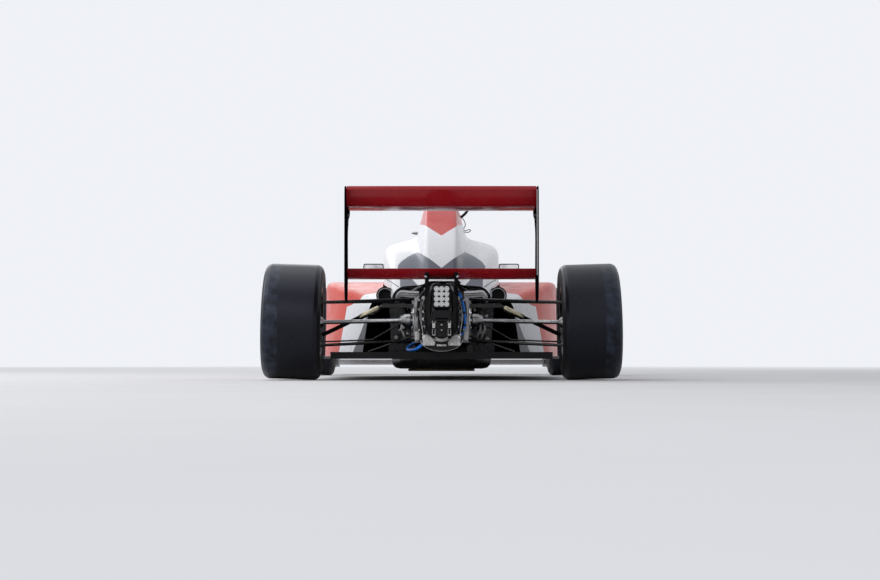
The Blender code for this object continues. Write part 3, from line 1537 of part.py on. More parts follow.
def add_hoses():
    """The cooling hose and the wiring looms, each held all the way, from one block on the gearbox."""
    back = REAR_Y - BLOCK_BEHIND
    block = box((-BLOCK_HALF, back, BLOCK_LOW_Z), (BLOCK_HALF, back + BLOCK_LENGTH, BLOCK_HIGH_Z))
    hoses = [hose(BLUE_HOSE, BLUE_HOSE_RADIUS)]
    hoses += [hose(route, LOOM_RADIUS) for route in (LEFT_LOOM, RIGHT_LOOM, LAMP_LOOM)]
    cuts = [swollen(gearbox_solid()), swollen(crash_solid()), swollen(engine_solid())]
    node("hoses", "hose", block, adds=hoses, cuts=cuts)


def add_body():
    add_tub()
    node("nose", "white paint", nose_solid())
    add_roll_hoop()
    pipes = [outlet_space(side) for side in (-1, 1)]
    node("engine_cover", "white paint", loft(cover_rings()), cuts=pipes)
    for side in (-1, 1):
        name = side_name(side)
        node(f"sidepod_{name}", "red paint", loft(pod_rings(side)), cuts=[outlet_space(side)])
        node(f"radiator_{name}", "casting", radiator(side))
        solid, place = outlet(side)
        node(f"outlet_{name}", "carbon", solid, place=place)
        housing, stem = mirror(side)
        node(f"mirror_{name}", "carbon", housing, adds=[stem], cuts=[swollen(tub_solid())])
    node("floor", "carbon", floor_solid())
    add_plank()
    node("engine", "casting", engine_solid())
    add_gearbox()
    light = box(
        (-LIGHT_HALF, CRASH_BACK_Y - GAP - LIGHT_DEPTH, LIGHT_LOW_Z),
        (LIGHT_HALF, CRASH_BACK_Y - GAP, LIGHT_LOW_Z + LIGHT_HEIGHT),
    )
    node("rain_light", "light", light)


def build():
    clear_scene()
    add_wheels()
    add_uprights()
    add_suspension()
    bar, eyes = steering_rack()
    node("steering_rack", "steel", bar, adds=eyes)
    add_body()
    add_cockpit()
    add_hoses()
    add_rear_wing()
    add_front_wing()


build()
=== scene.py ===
"""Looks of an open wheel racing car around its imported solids: metres, +Y ahead, +X to the car's right, +Z up."""
import json
import math

import bmesh
import bpy
from mathutils import Matrix, Vector

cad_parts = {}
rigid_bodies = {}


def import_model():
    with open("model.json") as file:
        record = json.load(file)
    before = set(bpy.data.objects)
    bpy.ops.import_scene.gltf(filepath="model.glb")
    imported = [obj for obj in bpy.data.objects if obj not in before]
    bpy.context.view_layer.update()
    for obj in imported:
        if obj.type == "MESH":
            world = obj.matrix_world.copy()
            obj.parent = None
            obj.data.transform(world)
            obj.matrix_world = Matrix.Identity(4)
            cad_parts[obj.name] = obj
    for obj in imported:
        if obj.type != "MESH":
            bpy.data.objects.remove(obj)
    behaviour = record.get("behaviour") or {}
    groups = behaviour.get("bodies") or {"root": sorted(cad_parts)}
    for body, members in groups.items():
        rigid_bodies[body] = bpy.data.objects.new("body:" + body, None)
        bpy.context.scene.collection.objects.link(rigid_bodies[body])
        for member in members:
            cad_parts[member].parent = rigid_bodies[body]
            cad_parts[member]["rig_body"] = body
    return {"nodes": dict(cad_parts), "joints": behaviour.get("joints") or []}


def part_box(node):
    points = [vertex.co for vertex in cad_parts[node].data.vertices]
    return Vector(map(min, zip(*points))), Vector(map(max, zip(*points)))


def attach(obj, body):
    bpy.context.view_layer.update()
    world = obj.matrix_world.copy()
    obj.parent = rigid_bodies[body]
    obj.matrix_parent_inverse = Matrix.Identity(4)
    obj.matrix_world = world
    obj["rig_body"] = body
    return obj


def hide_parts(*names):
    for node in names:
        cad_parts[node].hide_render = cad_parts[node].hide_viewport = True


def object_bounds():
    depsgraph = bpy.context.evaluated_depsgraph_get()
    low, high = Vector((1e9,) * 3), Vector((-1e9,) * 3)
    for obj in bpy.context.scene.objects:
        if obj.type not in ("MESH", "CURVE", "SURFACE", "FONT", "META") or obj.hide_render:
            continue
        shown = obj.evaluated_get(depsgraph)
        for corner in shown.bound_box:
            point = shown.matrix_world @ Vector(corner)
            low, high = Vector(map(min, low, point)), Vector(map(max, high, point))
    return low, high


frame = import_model()
CAD_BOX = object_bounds()
JOINTS = {joint["name"]: joint for joint in frame["joints"]}
SIDES = {"left": -1, "right": 1}
GAP = 0.0004
SMOOTH_ANGLE = 32
RIGHT, AHEAD, UP = Vector((1, 0, 0)), Vector((0, 1, 0)), Vector((0, 0, 1))
BACK = -AHEAD

# Camera of the photograph: low behind the car
CAMERA_PLACE = (-0.0075, -11.92, 0.112)
CAMERA_PITCH = math.radians(1.86)
CAMERA_LENS = 85
CAMERA_SENSOR = 36

WHITE = (0.80, 0.81, 0.84)
RED = (0.56, 0.030, 0.022)
POD_RED = (0.62, 0.055, 0.028)
WING_RED = (0.36, 0.008, 0.014)
COVER_GREY = (0.070, 0.077, 0.110)
POD_GREY = (0.085, 0.085, 0.10)
BLACK = (0.012, 0.012, 0.014)


# Materials


class Look:
    """A material whose nodes come by short calls. An input takes a number, a colour or another node's socket."""

    def __init__(self, name, colour, roughness, metallic=0.0, coat=0.0, coat_roughness=0.06):
        self.material = bpy.data.materials.new(name)
        self.material.use_nodes = True
        self.tree = self.material.node_tree
        self.shader = self.tree.nodes["Principled BSDF"]
        self.place = self.node("TexCoord").outputs["Object"]
        self.set("Base Color", colour)
        self.set("Roughness", roughness)
        self.set("Metallic", metallic)
        self.set("Coat Weight", coat)
        self.set("Coat Roughness", coat_roughness)

    def set(self, name, value):
        self.feed(self.shader.inputs[name], value)

    def feed(self, socket, value):
        if isinstance(value, bpy.types.NodeSocket):
            self.tree.links.new(value, socket)
        elif isinstance(value, tuple) and len(value) == 3 and socket.type == "RGBA":
            socket.default_value = (*value, 1)
        else:
            socket.default_value = value

    def node(self, kind, settings=None, **inputs):
        made = self.tree.nodes.new("ShaderNode" + kind)
        for name, value in (settings or {}).items():
            setattr(made, name, value)
        for name, value in inputs.items():
            self.feed(made.inputs[name.replace("_", " ")], value)
        return made

    def attribute(self, name):
        return self.node("Attribute", {"attribute_name": name}).outputs["Fac"]

    def stretched(self, scales):
        return self.node("Mapping", Vector=self.place, Scale=scales).outputs["Vector"]

    def noise(self, scale, detail=4.0, place=None):
        made = self.node("TexNoise", Vector=place or self.place, Scale=scale, Detail=detail)
        return made.outputs["Fac"]

    def waves(self, scale, direction="X", place=None):
        made = self.node("TexWave", {"bands_direction": direction}, Vector=place or self.place, Scale=scale)
        return made.outputs["Fac"]

    def ramp(self, value, *stops):
        made = self.node("ValToRGB", Fac=value)
        points = made.color_ramp.elements
        for at, _ in stops[1:-1]:
            points.new(at)
        points[0].position = stops[0][0]
        points[-1].position = stops[-1][0]
        for point, (_, colour) in zip(points, stops):
            point.color = (*colour, 1) if isinstance(colour, tuple) else (colour, colour, colour, 1)
        return made.outputs["Color"]

    def mix(self, share, first, second):
        made = self.node("Mix", {"data_type": "RGBA"})
        self.feed(made.inputs[0], share)
        self.feed(made.inputs[6], first)
        self.feed(made.inputs[7], second)
        return made.outputs[2]

    def math(self, operation, first, second=0.0):
        made = self.node("Math", {"operation": operation})
        self.feed(made.inputs[0], first)
        self.feed(made.inputs[1], second)
        return made.outputs[0]

    def bump(self, height, strength, distance=0.001):
        made = self.node("Bump", Height=height, Strength=strength, Distance=distance)
        self.set("Normal", made.outputs["Normal"])

    def speckled(self, colour, spread, scale, roughness, rough_spread):
        """Colour and roughness that drift over the surface, which says how far."""
        drift = self.noise(scale)
        dark = tuple(channel * (1 - spread) for channel in colour)
        light = tuple(min(1.0, channel * (1 + spread)) for channel in colour)
        self.set("Base Color", self.ramp(drift, (0.3, dark), (0.7, light)))
        rough = self.noise(scale * 3)
        self.set("Roughness", self.ramp(rough, (0.3, roughness - rough_spread), (0.7, roughness + rough_spread)))


def road_dust(look, colour, amount=0.5):
    """Grey brown dust on the lower parts, thinner towards the top."""
    height = look.node("SeparateXYZ", Vector=look.place).outputs["Z"]
    low = look.ramp(height, (0.05, 1.0), (0.34, 0.0))
    patches = look.ramp(look.noise(9.0, 6.0), (0.35, 0.0), (0.75, 1.0))
    share = look.math("MULTIPLY", look.math("MULTIPLY", low, patches), amount)
    return look.mix(share, colour, (0.16, 0.145, 0.125))


def paint(name, colour, coat=0.25, roughness=0.30, specular=0.3):
    """Glossy car paint with a clear coat, orange peel and dust low down."""
    look = Look(name, colour, roughness, coat=coat)
    look.set("Specular IOR Level", specular)
    shades = [tuple(min(1.0, channel * share) for channel in colour) for share in (0.96, 1.02)]
    drift = look.ramp(look.noise(1.6), (0.3, shades[0]), (0.7, shades[1]))
    look.set("Base Color", road_dust(look, drift, 0.14))
    look.set("Roughness", look.ramp(look.noise(16.0), (0.3, roughness - 0.06), (0.7, roughness + 0.08)))
    look.bump(look.noise(260.0, 2.0), 0.012, 0.0006)
    return look


def patterned_paint(name, layers, coat=0.25, specular=0.3):
    """Paint in several colours, each layer over the last where its own attribute is above zero."""
    look = paint(name, layers[0][1], coat, specular=specular)
    colour = look.shader.inputs["Base Color"].links[0].from_socket
    for area, tint in layers[1:]:
        edge = look.ramp(look.math("ADD", look.attribute(area), 0.5), (0.4985, 0.0), (0.5015, 1.0))
        colour = look.mix(edge, colour, tint)
    look.set("Base Color", colour)
    return look.material


def carbon(name, gloss=0.05):
    """Twill woven composite: two crossed sets of threads, one over and one under."""
    look = Look(name, BLACK, 0.32, coat=gloss, coat_roughness=0.12)
    look.set("Specular IOR Level", 0.1 if gloss else 0.0)
    turned = look.node("Mapping", Vector=look.place, Rotation=(0.6, 0.6, math.radians(45))).outputs["Vector"]
    weave = look.math("MULTIPLY", look.waves(90.0, "X", turned), look.waves(90.0, "Y", turned))
    tint = look.ramp(weave, (0.1, (0.002, 0.002, 0.003)), (0.7, (0.010, 0.010, 0.012)))
    look.set("Base Color", road_dust(look, tint, 0.06))
    look.set("Roughness", look.ramp(look.noise(7.0), (0.3, 0.26), (0.7, 0.48)))
    look.bump(weave, 0.12, 0.0004)
    return look.material


def metal(name, colour, roughness, stretch=(1, 1, 1), scale=40.0, strength=0.2, grime=0.0, metallic=1.0):
    """Metal with a grain along one way, and grime in its hollows."""
    look = Look(name, colour, roughness, metallic=metallic)
    grain = look.noise(scale, 6.0, look.stretched(stretch))
    dark = tuple(channel * 0.72 for channel in colour)
    tint = look.ramp(grain, (0.35, dark), (0.65, colour))
    if grime:
        patches = look.ramp(look.noise(14.0, 8.0), (0.42, 0.0), (0.62, grime))
        tint = look.mix(patches, tint, (0.035, 0.03, 0.025))
    look.set("Base Color", tint)
    look.set("Roughness", look.ramp(grain, (0.3, max(0.05, roughness - 0.1)), (0.7, roughness + 0.12)))
    look.bump(grain, strength, 0.0005)
    return look.material


def plastic(name, colour, roughness, coat=0.0):
    look = Look(name, colour, roughness, coat=coat)
    look.set("Specular IOR Level", 0.25)
    look.speckled(colour, 0.18, 30.0, roughness, 0.07)
    look.bump(look.noise(420.0, 2.0), 0.15, 0.0004)
    return look.material


def rubber(name, tread):
    """Slick tyre rubber: a worn tread, a scrubbed strip by its outer edge whose bluish tint is a painted sheen, and
    crumbs stuck to it.
    """
    look = Look(name, BLACK, 0.6)
    look.set("Specular IOR Level", 0.22)
    mottle = look.noise(60.0, 8.0)
    base = look.ramp(mottle, (0.3, (0.003, 0.003, 0.004)), (0.7, (0.007, 0.007, 0.009)))
    if not tread:
        look.set("Base Color", road_dust(look, base, 0.12))
        look.set("Roughness", look.ramp(look.noise(25.0), (0.3, 0.50), (0.7, 0.66)))
        look.bump(mottle, 0.25, 0.0005)
        return look.material
    # Strip by the tread's outer edge: the scrubbed rubber is real wear, its bluish tint a painted sheen.
    strip = look.ramp(look.attribute("across"), (0.70, 0.0), (0.73, 1.0), (0.97, 1.0), (1.0, 0.2))
    clouds = look.ramp(look.noise(22.0, 8.0), (0.38, 0.0), (0.68, 1.0))
    scrub_and_sheen = look.math("MULTIPLY", strip, clouds)
    tint = look.mix(scrub_and_sheen, base, (0.024, 0.033, 0.050))
    crumbs = look.node("TexVoronoi", Vector=look.place, Scale=150.0).outputs["Distance"]
    dots = look.math("MULTIPLY", look.ramp(crumbs, (0.10, 1.0), (0.16, 0.0)), scrub_and_sheen)
    look.set("Base Color", look.mix(dots, tint, (0.16, 0.17, 0.19)))
    around = look.noise(90.0, 4.0, look.stretched((6.0, 0.5, 0.5)))
    look.set("Roughness", look.ramp(around, (0.3, 0.30), (0.7, 0.44)))
    look.set("Coat Weight", 0.16)
    look.set("Coat Roughness", 0.35)
    look.set("Specular Tint", (0.66, 0.72, 1.0))
    height = look.math("ADD", look.math("MULTIPLY", mottle, 0.5), look.math("MULTIPLY", dots, 2.0))
    look.bump(look.math("ADD", height, look.math("MULTIPLY", around, 0.7)), 0.30, 0.0008)
    return look.material


def cloth(name, colour, thread=900.0):
    """Woven cloth: two crossed threads and a soft sheen."""
    look = Look(name, colour, 0.85)
    weave = look.math("ADD", look.waves(thread / 6), look.waves(thread / 6, "Z"))
    dark, light = (tuple(channel * share for channel in colour) for share in (0.75, 1.3))
    look.set("Base Color", look.ramp(look.noise(8.0, 5.0), (0.3, dark), (0.7, light)))
    look.set("Sheen Weight", 0.25)
    look.bump(weave, 0.35, 0.0006)
    return look.material


def wood(name):
    """Resin bonded wood, worn and scored along the car."""
    look = Look(name, (0.2, 0.12, 0.07), 0.6)
    grain = look.noise(30.0, 8.0, look.stretched((9.0, 0.4, 9.0)))
    look.set("Base Color", look.ramp(grain, (0.3, (0.10, 0.062, 0.035)), (0.7, (0.30, 0.20, 0.12))))
    look.set("Roughness", look.ramp(grain, (0.3, 0.5), (0.7, 0.8)))
    look.bump(grain, 0.5, 0.001)
    return look.material


def clear_sheet(name):
    """Thin tinted plastic sheet with faint wipe marks."""
    look = Look(name, (0.72, 0.76, 0.78), 0.06)
    look.set("Transmission Weight", 0.92)
    look.set("IOR", 1.2)
    look.set("Roughness", look.ramp(look.noise(12.0, 6.0), (0.4, 0.03), (0.7, 0.14)))
    look.bump(look.noise(40.0), 0.03, 0.0004)
    return look.material


def lens(name):
    """A milky lamp lens with a faceted back."""
    look = Look(name, (0.86, 0.86, 0.84), 0.2, coat=0.5)
    cells = look.node("TexVoronoi", Vector=look.place, Scale=330.0).outputs["Distance"]
    look.set("Base Color", look.ramp(cells, (0.1, (0.92, 0.92, 0.90)), (0.6, (0.66, 0.67, 0.66))))
    look.bump(cells, 0.4, 0.0006)
    return look.material


def finned(name):
    """A radiator core: thin upright fins between level tubes, the gaps between them near black as painted shade."""
    look = Look(name, (0.2, 0.2, 0.21), 0.5, metallic=0.7)
    fins = look.math("MULTIPLY", look.waves(140.0), look.waves(28.0, "Z"))
    # Near black between fins and tubes: painted shade in the gaps of the core.
    look.set("Base Color", look.ramp(fins, (0.1, (0.012, 0.012, 0.013)), (0.7, (0.15, 0.15, 0.155))))
    look.bump(fins, 0.6, 0.002)
    return look.material


LOOKS = {
    "white": paint("white_paint", WHITE).material,
    "red": paint("red_paint", RED).material,
    "wing": paint("wing_paint", WING_RED, roughness=0.22).material,
    "cover": patterned_paint("cover_paint", (("", WHITE), ("red_area", RED), ("grey_area", COVER_GREY))),
    "pod": patterned_paint("pod_paint", (
        ("", POD_RED), ("white_area", WHITE), ("grey_area", POD_GREY)), 0.08, 0.14),
    "carbon": carbon("woven_composite"),
    "dull carbon": carbon("woven_composite_dull", 0.0),
    "tread": rubber("tyre_tread", True),
    "sidewall": rubber("tyre_sidewall", False),
    "rim": metal("wheel_metal", (0.085, 0.085, 0.09), 0.34, scale=70.0, grime=0.4),
    "nut": metal("nut_metal", (0.52, 0.53, 0.55), 0.25, scale=80.0),
    "disc": metal("disc_steel", (0.36, 0.36, 0.37), 0.3, scale=60.0, grime=0.3),
    "steel": metal("polished_steel", (0.62, 0.61, 0.60), 0.2, (0.3, 6, 6), 30.0, 0.1, grime=0.15),
    "casting": metal("cast_alloy", (0.40, 0.40, 0.41), 0.5, scale=90.0, strength=0.5, grime=0.75),
    "dark metal": metal("dark_metal", (0.040, 0.040, 0.044), 0.42, scale=70.0, grime=0.5),
    "worn alloy": metal(
        "worn_alloy", (0.62, 0.61, 0.60), 0.45, scale=120.0, strength=0.5, grime=0.35, metallic=0.6),
    "arm": metal("arm_coating", (0.016, 0.016, 0.018), 0.3, (1, 6, 6), 30.0, 0.15, metallic=0.2),
    # Pale brass tone of the pushrod sleeves: a painted reflection on the pushrods' upper ends.
    "brass": metal("brass_toned_metal", (0.46, 0.42, 0.30), 0.25, (1, 5, 5), 40.0, 0.15, grime=0.2),
    "plastic": plastic("black_plastic", (0.006, 0.006, 0.007), 0.4),
    "gloss plastic": plastic("gloss_black_plastic", (0.004, 0.004, 0.005), 0.2, 0.12),
    "hose": plastic("black_hose", (0.008, 0.008, 0.009), 0.55),
    "blue": plastic("blue_hose", (0.02, 0.22, 0.85), 0.35, 0.3),
    "grip": plastic("grip_rubber", (0.02, 0.02, 0.022), 0.75),
    "cloth": cloth("seat_cloth", (0.03, 0.03, 0.034)),
    "strap": cloth("strap_webbing", (0.035, 0.036, 0.045), 1400.0),
    "wood": wood("worn_wood"),
    "screen": clear_sheet("screen_sheet"),
    "lens": lens("lamp_lens"),
    "fins": finned("radiator_fins"),
    "mirror": metal("mirror_face", (0.85, 0.86, 0.88), 0.08, scale=20.0, strength=0.01),
}


# Outlines and tables


def mixed(low, high, share):
    return low + (high - low) * share


def rounded(corners, steps=8, closed=True, runs=1):
    """Points of an outline of (u, v, cut) corners, each corner curved from cut before it to cut after it.
    Its straight runs are divided in a number of equal runs."""
    bends = []
    count = len(corners)
    for index, (u, v, cut) in enumerate(corners):
        here = Vector((u, v))
        if not cut or (not closed and index in (0, count - 1)):
            bends.append([here])
            continue
        before = Vector(corners[index - 1][:2])
        after = Vector(corners[(index + 1) % count][:2])
        start = here + (before - here).normalized() * cut
        end = here + (after - here).normalized() * cut
        shares = [step / steps for step in range(steps + 1)]
        bends.append([start.lerp(here, t).lerp(here.lerp(end, t), t) for t in shares])
    points = []
    for index, bend in enumerate(bends):
        points += bend
        if closed or index < count - 1:
            following = bends[(index + 1) % count][0]
            points += [bend[-1].lerp(following, k / runs) for k in range(1, runs)]
    return points


def offset(points, distance):
    """An open outline moved to its left by a distance."""
    shifted = []
    last = len(points) - 1
    for index, here in enumerate(points):
        first = (here - points[index - 1]).normalized() if index else None
        second = (points[index + 1] - here).normalized() if index < last else None
        first = first or second
        second = second or first
        normals = [Vector((-d.y, d.x)) for d in (first, second)]
        middle = (normals[0] + normals[1]).normalized()
        shifted.append(here + middle * (distance / middle.dot(normals[0])))
    return shifted


def spline(values, t):
    """A smooth curve through rows of numbers, t counted in rows."""
    index = min(int(t), len(values) - 2)
    t -= index
    picked = [values[min(max(index + k, 0), len(values) - 1)] for k in (-1, 0, 1, 2)]
    row = []
    for before, here, after, later in zip(*picked):
        slope_here = (after - before) / 2
        slope_after = (later - here) / 2
        a = 2 * here - 2 * after + slope_here + slope_after
        b = -3 * here + 3 * after - 2 * slope_here - slope_after
        row.append(((a * t + b) * t + slope_here) * t + here)
    return row


def smoothed(table, steps):
    """More rows of a table, on a smooth curve through its own."""
    count = (len(table) - 1) * steps
    return [spline(table, number / steps) for number in range(count + 1)]


def across(y, points):
    return [Vector((u, y, v)) for u, v in points]


def four(low_half, high_half, low, high, cut):
    """The corners of an outline that is as wide to both sides."""
    return both(((low_half, low, cut), (high_half, high, cut)))


def both(half):
    """All corners of an outline whose right half is given."""
    return [*half, *((-u, v, cut) for u, v, cut in reversed(half))]


def turns(count):
    return [math.tau * step / count for step in range(count)]


def heading(path, index, closed=False):
    """The way that a path takes at one of its points."""
    if closed:
        return (path[(index + 1) % len(path)] - path[index - 1]).normalized()
    return (path[min(index + 1, len(path) - 1)] - path[max(index - 1, 0)]).normalized()


# Solids, each a new bmesh


def loft(rings, closed=True, capped=True):
    solid = bmesh.new()
    rows = [[solid.verts.new(point) for point in ring] for ring in rings]
    for row, following in zip(rows, rows[1:]):
        for index in range(len(row) if closed else len(row) - 1):
            after = (index + 1) % len(row)
            solid.faces.new((row[index], row[after], following[after], following[index]))
    if capped:
        solid.faces.new(rows[0][::-1])
        solid.faces.new(rows[-1])
    return solid


def lathe(profile, sides, ring=False):
    """A profile of (x, radius) points turned about X."""
    solid = bmesh.new()
    rows = []
    for x, radius in profile:
        if radius == 0:
            rows.append([solid.verts.new((x, 0, 0))] * sides)
            continue
        rows.append([solid.verts.new((x, radius * math.cos(a), radius * math.sin(a))) for a in turns(sides)])
    pairs = list(zip(rows, rows[1:]))
    if ring:
        pairs.append((rows[-1], rows[0]))
    for row, following in pairs:
        for index in range(sides):
            after = (index + 1) % sides
            corners = (row[index], row[after], following[after], following[index])
            solid.faces.new(list(dict.fromkeys(corners)))
    return solid


def drum(start, end, radius, sides):
    return lathe([(start, 0), (start, radius), (end, radius), (end, 0)], sides)


def hoop(start, end, inner, outer, sides):
    return lathe([(start, inner), (start, outer), (end, outer), (end, inner)], sides, ring=True)


def swept(points, radius, sides=12, flat=1.0):
    """A closed tube along a path. Radius is one number or one for each point, flat its thickness share."""
    points = [Vector(point) for point in points]
    radii = radius if isinstance(radius, (list, tuple)) else [radius] * len(points)
    wide = None
    rings = []
    for index, here in enumerate(points):
        ahead = heading(points, index)
        if wide is None:
            wide = ahead.cross(UP)
            wide = wide if wide.length > 0.05 else RIGHT
        wide = (wide - ahead * wide.dot(ahead)).normalized()
        thick = wide.cross(ahead) * flat
        rings.append([here + (wide * math.cos(a) + thick * math.sin(a)) * radii[index] for a in turns(sides)])
    return loft(rings)


def curve_through(points, steps=6):
    return [Vector(row) for row in smoothed([tuple(point) for point in points], steps)]


def tube(points, radius, sides=12, flat=1.0, steps=6):
    """A tube along a smooth curve through a few points."""
    return swept(curve_through(points, steps), radius, sides, flat)


def box(low, high, bevel=0.0):
    solid = bmesh.new()
    bmesh.ops.create_cube(solid, size=1.0)
    low, high = Vector(low), Vector(high)
    for vertex in solid.verts:
        vertex.co = Vector([mixed(low[k], high[k], vertex.co[k] + 0.5) for k in range(3)])
    if bevel:
        bmesh.ops.bevel(solid, geom=solid.edges[:], offset=bevel, segments=2, profile=0.6, affect="EDGES")
    return solid


def plate(outline, plane, start, end, bevel=0.0):
    """A plate whose outline lies across X or level, from start to end along the other axis."""
    places = {"x": lambda u, v, w: (w, u, v), "y": lambda u, v, w: (u, w, v), "z": lambda u, v, w: (u, v, w)}
    rings = [[Vector(places[plane](u, v, w)) for u, v in outline] for w in (start, end)]
    solid = loft(rings)
    if bevel:
        rim = [e for e in solid.edges if len(e.link_faces) == 2 and e.calc_face_angle(0) > math.radians(60)]
        bmesh.ops.bevel(solid, geom=rim, offset=bevel, segments=2, profile=0.6, affect="EDGES")
    return solid


def aimed(axis):
    """The turn that brings X onto an axis."""
    return RIGHT.rotation_difference(Vector(axis)).to_matrix().to_4x4()


def placed(solid, matrix):
    bmesh.ops.transform(solid, matrix=matrix, verts=solid.verts)
    return solid


def moved(solid, x, y, z):
    return placed(solid, Matrix.Translation((x, y, z)))


def aligned(solid, place, axis):
    """A solid that was made about X, brought to a place and onto an axis."""
    return placed(solid, Matrix.Translation(Vector(place)) @ aimed(axis))


def bolt(at, axis, radius, height=None):
    """A hexagon head on its washer."""
    height = height or radius
    head = lathe([(0, 0), (0, radius), (height * 0.85, radius), (height, radius * 0.86), (height, 0)], 6)
    washer = lathe([(0, 0), (0, radius * 1.35), (height * 0.2, radius * 1.35), (height * 0.2, 0)], 14)
    return aligned(merged([head, washer]), at, axis)


def stud(at, axis, radius, height):
    """A round headed fastener with a slot ring."""
    profile = [(0, 0), (0, radius), (height * 0.6, radius * 0.95), (height, radius * 0.7), (height * 0.7, 0)]
    return aligned(lathe(profile, 14), at, axis)


def mesh_of(name, solid):
    mesh = bpy.data.meshes.new(name)
    solid.to_mesh(mesh)
    solid.free()
    return mesh


def merged(solids):
    """Several solids in one bmesh."""
    whole = bmesh.new()
    for solid in solids:
        mesh = mesh_of("part", solid)
        whole.from_mesh(mesh)
        bpy.data.meshes.remove(mesh)
    return whole


def mirrored(solid):
    """A solid and its copy on the other side of the car."""
    return merged([solid, placed(solid.copy(), Matrix.Scale(-1, 4, RIGHT))])


# Pieces


def linked(name, data):
    made = bpy.data.objects.new(name, data)
    bpy.context.scene.collection.objects.link(made)
    return made


def piece(name, solid, look, body="chassis", stands_for=(), angle=SMOOTH_ANGLE):
    """A finished mesh that rides on a body, in place of the CAD nodes it stands for."""
    bmesh.ops.recalc_face_normals(solid, faces=solid.faces)
    return settled(name, mesh_of(name, solid), look, body, stands_for, angle)


def settled(name, mesh, look, body, stands_for, angle):
    mesh.materials.clear()
    mesh.materials.append(LOOKS[look])
    mesh.shade_smooth()
    mesh.set_sharp_from_angle(angle=math.radians(angle))
    made = linked(name, mesh)
    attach(made, body)
    if stands_for:
        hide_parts(*stands_for)
    return made


def dressed(node, look, bevel, angle=SMOOTH_ANGLE):
    """A CAD solid as it is, with its sharp edges eased and its round faces smooth."""
    source = frame["nodes"][node]
    mesh = source.data.copy()
    solid = bmesh.new()
    solid.from_mesh(mesh)
    bmesh.ops.remove_doubles(solid, verts=solid.verts, dist=0.00002)
    bmesh.ops.dissolve_limit(solid, angle_limit=math.radians(0.5), verts=solid.verts, edges=solid.edges)
    solid.to_mesh(mesh)
    solid.free()
    made = settled(f"{node}_dressed", mesh, look, source["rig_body"], (node,), angle)
    if bevel:
        ease = made.modifiers.new("eased edges", "BEVEL")
        ease.width = bevel
        ease.segments = 2
        ease.limit_method = "ANGLE"
        ease.angle_limit = math.radians(38)


def attribute(made, name, rule):
    """A number for each point of a piece, by a rule of its place."""
    values = made.data.attributes.new(name, "FLOAT", "POINT")
    values.data.foreach_set("value", [rule(vertex.co) for vertex in made.data.vertices])


# Wheels: the tyre's outline from its bead to the middle of the tread, as shares of half width and height

TYRE_SHARES = (
    (0.862, 0.0), (0.88, 0.05), (0.905, 0.1), (0.925, 0.17), (0.962, 0.3), (0.99, 0.42), (1.0, 0.53),
    (0.996, 0.65), (0.978, 0.77), (0.942, 0.87), (0.885, 0.94), (0.805, 0.984), (0.7, 1.0), (0.0, 1.0),
)
SIDEWALL_RINGS = ((0.21, 0.0016), (0.36, 0.001), (0.7, 0.001))
TYRE_SIDES = 120
TREAD_START = 0.86
RIM_RADIUS = 0.1651
RIM_LIP = 0.178
SPOKES = 8
SPOKE_INSET = 0.035
# Distance from the axle, half width, lean outward and depth
SPOKE_ROWS = (
    (0.04, 0.021, -0.004, 0.024), (0.062, 0.0125, -0.001, 0.022), (0.1, 0.0105, 0.001, 0.019),
    (0.135, 0.0125, 0.002, 0.02), (0.156, 0.021, 0.004, 0.026),
)
HUB_RADIUS = 0.05
NUT_RADIUS = 0.03
DISC_RADIUS = 0.125
DISC_INNER = 0.066
DISC_FACE = -0.013
DISC_BACK = -0.033
DISC_VANES = 40
# Half width and radius of the tyre, then half width of the rim
WHEELS = {"rear": (0.1463, 0.2873, 0.137), "front": (0.1148, 0.2748, 0.1116)}


def hub_matrix(joint, side):
    """The wheel's own frame, X outward along its axle, mirrored for the left side."""
    outward = Vector(joint["axis"]).normalized() * -side
    up = Vector((-side * outward.z, 0, side * outward.x))
    turn = Matrix((outward, Vector((0, 1, 0)), up)).transposed().to_4x4()
    return Matrix.Translation(joint["pos_m"]) @ turn


def tyre_profile(half_width, radius):
    half = []
    for width, height in smoothed(TYRE_SHARES, 4):
        width, height = min(width, 1.0), min(height, 1.0)
        lift = sum(rise for at, rise in SIDEWALL_RINGS if abs(height - at) < 0.018 and width < 0.999)
        half.append((width * half_width + lift, mixed(RIM_RADIUS + GAP, radius, height)))
    return half + [(-x, r) for x, r in reversed(half[:-1])]


def add_tyre(end, name, matrix):
    half_width, radius, _ = WHEELS[end]
    solid = placed(lathe(tyre_profile(half_width, radius), TYRE_SIDES, ring=True), matrix)
    made = piece(f"tyre_{end}_{name}_rubber", solid, "sidewall", f"{end}_{name}_wheel", (f"tyre_{end}_{name}",), 50)
    made.data.materials.append(LOOKS["tread"])
    inverse = matrix.inverted()
    attribute(made, "across", lambda co: (inverse @ co).x / half_width * 0.5 + 0.5)
    tread_radius = mixed(RIM_RADIUS, radius, TREAD_START)
    for face in made.data.polygons:
        if (inverse @ face.center).yz.length > tread_radius:
            face.material_index = 1


def round_axle(make, count, shift=0.0):
    """Copies of a solid, turned round X."""
    return [placed(make(), Matrix.Rotation(math.tau * (n + shift) / count, 4, "X")) for n in range(count)]


def spoke(face):
    """One spoke: a bar that widens at the hub and at the rim and leans outward to the rim."""
    rings = []
    for radius, half, lean, depth in SPOKE_ROWS:
        near, far, narrow = face + lean, face - depth, half * 0.75
        corners = ((near, -half, 0.004), (near, half, 0.004), (far, narrow, 0.004), (far, -narrow, 0.004))
        rings.append([Vector((x, w, radius)) for x, w in rounded(corners, 3)])
    return loft(rings)


